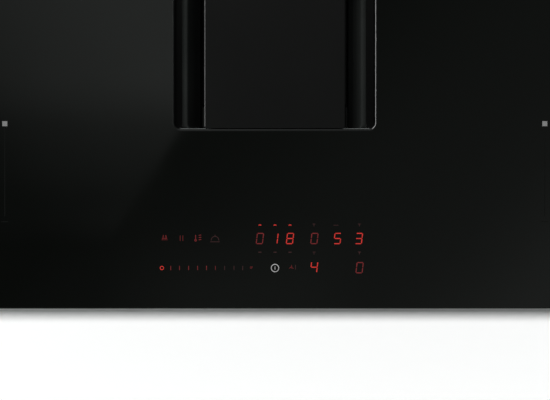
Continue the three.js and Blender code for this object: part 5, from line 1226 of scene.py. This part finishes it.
# %% The scroll's ribs
SCROLL_RIB = (0.9, 2.2, 3.0, 86.5)  # half width, reach, foot and top
slant_run = SLANT_END - SLANT_FOOT
slant_out = Vector((slant_run.y, -slant_run.x)).normalized()
ribs = [rib(*on_scroll(angle), *SCROLL_RIB) for angle in range(84, 360, 12)]
ribs += [rib((RIGHT_WALL_X, y), (1, 0), *SCROLL_RIB) for y in range(10, 190, 25)]
for share in (0.06, 0.2, 0.34, 0.48, 0.62):
    ribs.append(rib(SLANT_FOOT + slant_run * share, slant_out, *SCROLL_RIB))
fit("scroll_ribs", ribs, *MOULDING)
print(len(ribs), "ribs on the scroll")

# %% The scroll's screws
BOSS = [(0.8, 62.0, 0), (4.1, 69.0, 0), (4.5, 71.0, 0), (4.5, 91.25, 0)]
EAR = [(4.2, 91.5, 0), (4.5, 91.8, 0), (4.5, 93.7, 0), (4.2, 94.0, 0)]
BOSS_OUT, BOSS_SIDES = 3.2, 16
joint_spots = [on_scroll(angle, BOSS_OUT)[0] for angle in (230, 260, 290, 320, 350)]
joint_spots += [(RIGHT_WALL_X + BOSS_OUT, y) for y in (35, 100, 165)]
joint_spots += [tuple(SLANT_FOOT + slant_run * share + slant_out * BOSS_OUT) for share in (0.1, 0.36)]
for name, section in (("scroll_bosses", BOSS), ("scroll_lid_ears", EAR)):
    fit(name, [spun(section, (x, y, 0), Z_AXIS, BOSS_SIDES) for x, y in joint_spots], *MOULDING)
lid_top = EAR[-1][1]
fit("scroll_screws", heads(PAN_HEAD, 2.6, [((x, y, lid_top), Z_AXIS) for x, y in joint_spots]), *SCREWED)
print(len(joint_spots), "screws on the scroll")

# %% [markdown]
# ## Duct and outlet
# The duct is a shallow tray with a lid, held shut by spring clips of galvanised strip that snap over
# both rims. The spigot takes a flat household duct of 220 x 90 mm: two bands stop the duct, a rubber
# gasket with three lips seals it, and the flaps inside have ribs so that they hang flat.

# %% Duct
DUCT_LEFT, DUCT_RIGHT, DUCT_FRONT, DUCT_REAR, DUCT_CORNER = 81.5, 340.0, -97.0, 120.0, 60.0
CORNER_X = DUCT_RIGHT - DUCT_CORNER
CORNERS = [(CORNER_X, DUCT_FRONT + DUCT_CORNER, -90), (CORNER_X, DUCT_REAR - DUCT_CORNER, 0)]
TRAY_LIP = [(-0.5, 152.0), (1.5, 152.0), (1.8, 152.3), (1.8, 155.7), (1.5, 156.0), (-0.5, 156.0)]
DUCT_LID_LIP = [(-0.5, 156.25), (1.5, 156.25), (1.8, 156.6), (1.8, 158.4), (1.5, 158.75), (-0.5, 158.75)]
FOOT_BAND = [(-0.5, 95.5), (0.9, 95.5), (1.2, 95.8), (1.2, 99.0), (0.9, 99.3), (-0.5, 99.3)]
DUCT_LIPS = {"duct_tray_lip": TRAY_LIP, "duct_lid_lip": DUCT_LID_LIP, "duct_band": FOOT_BAND}
duct_line = [(DUCT_LEFT, DUCT_FRONT)]
for x, y, start in CORNERS:
    duct_line += arc((x, y), DUCT_CORNER, start, start + 90, 12)
duct_line.append((DUCT_LEFT, DUCT_REAR))
for name, section in DUCT_LIPS.items():
    fit(name, [sweep(duct_line, section)], *MOULDING)
print(len(DUCT_LIPS), "lips round the duct")

# %% The duct's ribs and clips
DUCT_RIB = (0.9, 1.8, 98.5, 152.6)
ribs = [rib((x, y), (0, out), *DUCT_RIB) for x in (95, 145, 170, 220, 245)
        for y, out in ((DUCT_FRONT, -1), (DUCT_REAR, 1))]
ribs += [rib((DUCT_RIGHT, y), (1, 0), *DUCT_RIB) for y in (-35, 10, 58)]
for x, y, start in CORNERS:
    for turn in (25, 45, 65):
        angle = math.radians(start + turn)
        out = (math.cos(angle), math.sin(angle))
        ribs.append(rib((x + DUCT_CORNER * out[0], y + DUCT_CORNER * out[1]), out, *DUCT_RIB))
fit("duct_ribs", ribs, *MOULDING)
CLIP = [(-6.0, 158.75), (-6.0, 159.55), (2.6, 159.55), (2.9, 159.25), (2.9, 151.4), (2.6, 151.1),
        (0.1, 150.6), (0.1, 151.4), (2.0, 151.9), (2.0, 158.75)]
CLIP_HALF = 7.0
clips = [sweep([(x - CLIP_HALF, DUCT_FRONT), (x + CLIP_HALF, DUCT_FRONT)], CLIP) for x in (120, 195, 268)]
clips += [sweep([(x + CLIP_HALF, DUCT_REAR), (x - CLIP_HALF, DUCT_REAR)], CLIP) for x in (120, 195, 268)]
clips += [sweep([(DUCT_RIGHT, y - CLIP_HALF), (DUCT_RIGHT, y + CLIP_HALF)], CLIP) for y in (-14, 36)]
fit("duct_clips", clips, *PRESSED)
print(len(ribs), "ribs and", len(clips), "clips on the duct")

# %% Outlet
SPIGOT_X, SPIGOT_Z, SPIGOT_HALF_X, SPIGOT_HALF_Z = 270.5, 47.0, 111.0, 44.5
BANDS_Y, GASKET_Y = (213.0, 221.0), 231.0
FLANGE_SCREW_X, FLANGE_SCREW_Y, FLANGE_SCREW_HEIGHTS = 114.7, 203.0, (10, 47, 84)
FLAP_RIB = (0.8, 1.2)  # half width and reach
FLAP_RIB_PITCH = 34
BAND = [(-0.3, 0.0), (0.9, 0.0), (1.2, 0.3), (1.2, 2.2), (0.9, 2.5), (-0.3, 2.5)]  # out, and along the tube
GASKET = [(-0.2, 0.0), (0.8, 0.2), (2.1, 2.2), (0.9, 2.6), (0.9, 4.2), (2.1, 6.4), (0.9, 6.8), (0.9, 8.4),
          (2.1, 10.6), (0.9, 11.0), (0.8, 12.4), (-0.2, 12.6)]


def round_spigot(section, start):
    """A section carried round the outside of the spigot, from a place along it."""
    loops = [[(x + SPIGOT_X, y, z + SPIGOT_Z) for x, z, y in
              loop(SPIGOT_HALF_X + out, SPIGOT_HALF_Z + out, 1.0 + out, start + at, steps=4)]
             for out, at in section]
    return join_loops(loops, wrap=True)


fit("spigot_bands", [round_spigot(BAND, y) for y in BANDS_Y], *MOULDING)
fit("spigot_gasket", [round_spigot(GASKET, GASKET_Y)], "hob", SILICONE, "silicone")
spots = [((SPIGOT_X + side * FLANGE_SCREW_X, FLANGE_SCREW_Y, z), Y_AXIS)
         for side in (-1, 1) for z in FLANGE_SCREW_HEIGHTS]
fit("spigot_screws", heads(PAN_HEAD, 2.6, spots), *SCREWED)
for node in ("damper_upper", "damper_lower"):
    low, high = box_mm(node)
    flap_y = (low[1] + high[1]) / 2
    span = (low[2] + 3, high[2] - 6)
    ribs = [rib((SPIGOT_X + FLAP_RIB_PITCH * i, flap_y + side), (0, side), *FLAP_RIB, *span)
            for i in range(-3, 4) for side in (-1, 1)]
    fit(node + "_ribs", ribs, BODY_OF[node], GREY_NYLON, "grey_plastic")
print(len(spots), "screws on the spigot and", len(ribs), "ribs on each flap")

# %% [markdown]
# ## Intake box, sump and mains box
# The intake box hangs under the opening as one deep moulding with upright ribs and a band, and the grey
# sump below it snaps on with two latches. The mains box is closed from below, and the lead would enter
# it through a gland: a six-sided nut, a domed clamping nut with finger ribs and a rubber seal.

# %% Intake box
BOX_FLANGE = 14.0
box_low, box_high = box_mm("intake_box")
tube_x, tube_y0, tube_y1 = box_high[0] - BOX_FLANGE, box_low[1] + BOX_FLANGE, box_high[1] - BOX_FLANGE
RIB_RUNS = [(13.0, 77.5), (82.5, 158.0)]  # below the band and above it
INTAKE_RIB = (1.0, 2.0)  # half width and reach
LATCH_TOP = 38.0  # the ribs over a latch start here
BOX_CORNER = 8.0
BOX_BAND = [(-0.4, 78.0), (1.4, 78.0), (1.8, 78.4), (1.8, 81.6), (1.4, 82.0), (-0.4, 82.0)]
ribs = []
for low, high in RIB_RUNS:
    for x in range(-60, 61, 20):
        foot_z = low if abs(x) > 15 else max(low, LATCH_TOP)
        ribs += [rib((x, y), (0, out), *INTAKE_RIB, foot_z, high)
                 for y, out in ((tube_y0, -1), (tube_y1, 1))]
    ribs += [rib((-tube_x, y), (-1, 0), *INTAKE_RIB, low, high) for y in range(-40, 160, 20)]
ribs += [rib((tube_x, y), (1, 0), *INTAKE_RIB, *RIB_RUNS[0]) for y in range(-40, 160, 20)]
tube_centre = (0.0, (tube_y0 + tube_y1) / 2)
tube_loop = loop(tube_x, (tube_y1 - tube_y0) / 2, BOX_CORNER, 0.0, tube_centre, 6)
tube_line = [point[:2] for point in tube_loop]
fit("intake_ribs", ribs, *MOULDING)
fit("intake_band", [sweep(tube_line, BOX_BAND, closed=True)], *MOULDING)
print(len(ribs), "ribs on the intake box")

# %% Its screws and latches
FLANGE_UNDER, FLANGE_SCREW_SIZE = 159.0, 3.2
LATCH_HALF = 11
LATCH = [(-0.2, 36.0), (2.0, 36.0), (3.4, 33.0), (3.4, 13.0), (6.0, 11.4), (6.0, 10.25), (0.4, 10.25),
         (-0.2, 11.0)]
screw_rows = [(-88.0, (-55, 0, 56, 112, 168)), (88.0, (160.0,))]
screw_rows += [(x, (box_low[1] + 7, box_high[1] - 7)) for x in (-50, 50)]
spots = [((x, y, FLANGE_UNDER), DOWN_AXIS) for x, row in screw_rows for y in row]
latches = [sweep([(side * -LATCH_HALF, y), (side * LATCH_HALF, y)], LATCH)
           for side, y in ((1, tube_y0), (-1, tube_y1))]
fit("intake_screws", heads(PAN_HEAD, FLANGE_SCREW_SIZE, spots), *SCREWED)
fit("sump_latches", latches, *MOULDING)
print(len(spots), "screws and", len(latches), "latches")

# %% Mains box
(mains_x0, mains_y0, mains_z0), (mains_x1, mains_y1, mains_z1) = box_mm("terminal_box")
lid_low, lid_high = box_mm("terminal_lid")
MAINS_RIB = (0.9, 1.6, mains_z0 + 3, mains_z1 - 2)
MAINS_CORNER, LIP_HEIGHT, SCREW_INSET = 4.0, 2.5, 8
LIP_PROFILE = [(-0.4, 0.0), (1.2, 0.0), (1.6, 0.4), (1.6, LIP_HEIGHT - 0.4), (1.2, LIP_HEIGHT),
               (-0.4, LIP_HEIGHT)]
ribs = [rib((x, y), (0, out), *MAINS_RIB) for x in (-372, -358, -292, -278)
        for y, out in ((mains_y0, -1), (mains_y1, 1))]
ribs += [rib((x, y), (out, 0), *MAINS_RIB) for y in range(146, 221, 14)
         for x, out in ((mains_x0, -1), (mains_x1, 1))]
fit("mains_box_ribs", ribs, *MOULDING)
lid_half = [(b - a) / 2 for a, b in zip(lid_low[:2], lid_high[:2])]
lid_centre = [(a + b) / 2 for a, b in zip(lid_low[:2], lid_high[:2])]
mains_line = [point[:2] for point in loop(*lid_half, MAINS_CORNER, 0.0, lid_centre, 5)]
for name, foot_z in (("mains_box_lip", mains_z0), ("mains_lid_lip", lid_low[2])):
    section = [(out, foot_z + rise) for out, rise in LIP_PROFILE]
    fit(name, [sweep(mains_line, section, closed=True)], *MOULDING)
spots = [((x, y, lid_low[2]), DOWN_AXIS) for x in (lid_low[0] + SCREW_INSET, lid_high[0] - SCREW_INSET)
         for y in (lid_low[1] + SCREW_INSET, lid_high[1] - SCREW_INSET)]
fit("mains_lid_screws", heads(PAN_HEAD, 3.0, spots), *SCREWED)
print(len(ribs), "ribs and", len(spots), "screws on the mains box")

# %% Cable gland
gland_low, gland_high = box_mm("cable_gland")
gland_foot = ((gland_low[0] + gland_high[0]) / 2, gland_low[1], (gland_low[2] + gland_high[2]) / 2)
SLEEVE = [(5.5, 0, 0), (9.6, 0, 0), (9.6, 7.9, 0), (5.5, 7.9, 0)]
HEX = [(7.5, 7.75, 0), (12.5, 7.75, 0), (13.0, 8.2, 0), (13.0, 10.6, 0), (12.5, 11.0, 0), (7.5, 11.0, 0)]
DOME = [(5.5, 11.0, 0), (10.9, 11.0, 0.03), (11.2, 11.4, 0.03), (11.2, 14.2, 0.03), (10.6, 15.8, 0.02),
        (9.2, 17.0, 0), (7.6, 17.5, 0), (6.9, 17.3, 0), (6.9, 16.0, 0), (5.5, 16.0, 0)]
SEAL = [(5.5, 15.5, 0), (6.8, 15.5, 0), (6.8, 17.0, 0), (6.2, 17.2, 0), (5.6, 16.9, 0)]
parts = [spun(SLEEVE, gland_foot, Y_AXIS, bored=True), spun(HEX, gland_foot, Y_AXIS, 6, bored=True),
         spun(DOME, gland_foot, Y_AXIS, 64, 16, bored=True)]
fit("cable_gland_turned", parts, "hob", GREY_NYLON, "grey_plastic", ("cable_gland",))
fit("cable_gland_seal", [spun(SEAL, gland_foot, Y_AXIS, 32, bored=True)], "hob", SILICONE, "silicone")
print("gland of", len(parts), "turned parts and a seal")

# %% [markdown]
# ## Inside: filter, windings and boards
# The filter is a dark frame round folded expanded foil, with a wire bail to lift it by. The windings
# are wound flat from litz, which is many fine enamelled strands twisted into one cord, so each turn is
# swept by itself round the coil. On the power boards each kind of part gets its own finish.

# %% Filter bail
bail_low, bail_high = box_mm("filter_handle")
bail_z, wire = (bail_low[2] + bail_high[2]) / 2, (bail_high[2] - bail_low[2]) / 2
hinge_y, grip_y = bail_low[1] + wire, bail_high[1] - wire
EYE_X, EYE_BEND = 44.5, 2.5
GRIP_X, GRIP_BEND = 35.0, 7.0
right = arc((EYE_X, hinge_y + EYE_BEND), EYE_BEND, 270, 180, 5)
right += arc((GRIP_X, grip_y - GRIP_BEND), GRIP_BEND, 0, 90, 7)
bail_line = [(bail_high[0], hinge_y)] + right + [(-x, y) for x, y in right[::-1]] + [(bail_low[0], hinge_y)]
round_wire = [(out, bail_z + rise) for out, rise in arc((0.0, 0.0), wire, 0, 330, 11)]
fit("filter_bail", [sweep(bail_line, round_wire)], "handle", ALUMINIUM, "aluminium", ("filter_handle",))
print("bail of", round(2 * wire, 1), "mm wire")

# %% Windings
TURNS = 22
WIRE_HALF, WIRE_RISE = 1.5, 2.45  # litz, pressed a little flat
WINDING_HALF, WINDING_BAND, WINDING_CORNER = (100.0, 91.0), 70.0, 42.0
for row in ("front", "rear"):
    for side in ("left", "right"):
        node = f"winding_{row}_{side}"
        low, high = box_mm(node)
        centre = [(a + b) / 2 for a, b in zip(low, high)]
        section = [(WIRE_HALF * math.cos(a), low[2] + WIRE_RISE * (1 + math.sin(a)))
                   for a in [math.pi * i / 4 for i in range(8)]]
        parts = []
        for turn in range(TURNS):
            inset = WIRE_HALF + turn * (WINDING_BAND - 2 * WIRE_HALF) / (TURNS - 1)
            line = loop(WINDING_HALF[0] - inset, WINDING_HALF[1] - inset, WINDING_CORNER - 0.4 * inset, 0,
                        centre, 5)
            parts.append(sweep([point[:2] for point in line], section, closed=True))
        fit(node + "_litz", parts, "hob", COPPER, "copper", (node,))
print(4 * TURNS, "turns of litz")

# %% Power boards
board_low, board_high = box_mm("power_board_left")
DECK_TOP = board_low[2] + 7.6
BOARD_FINISHES = (BOARD, SLEEVE_BLUE, FILM_GREY, COPPER, RELAY_BLACK, WHITE_NYLON)
PART_ROWS = [(-20, SLEEVE_BLUE), (16, FILM_GREY), (55, COPPER), (120, RELAY_BLACK)]  # where each row ends
middle_y = (board_low[1] + board_high[1]) / 2
for side in ("left", "right"):
    piece = rounded_copy(f"power_board_{side}", 0.5, BOARD)
    for material in BOARD_FINISHES[1:]:
        piece.data.materials.append(material)
    for face in piece.data.polygons:
        y, z = face.center.y / MM - middle_y, face.center.z / MM
        used = BOARD
        if z > DECK_TOP + 0.5:
            used = next(material for row_end, material in PART_ROWS if y < row_end)
        elif z < DECK_TOP - 2.0:
            used = WHITE_NYLON
        face.material_index = BOARD_FINISHES.index(used)
print("power boards with", len(BOARD_FINISHES), "finishes")
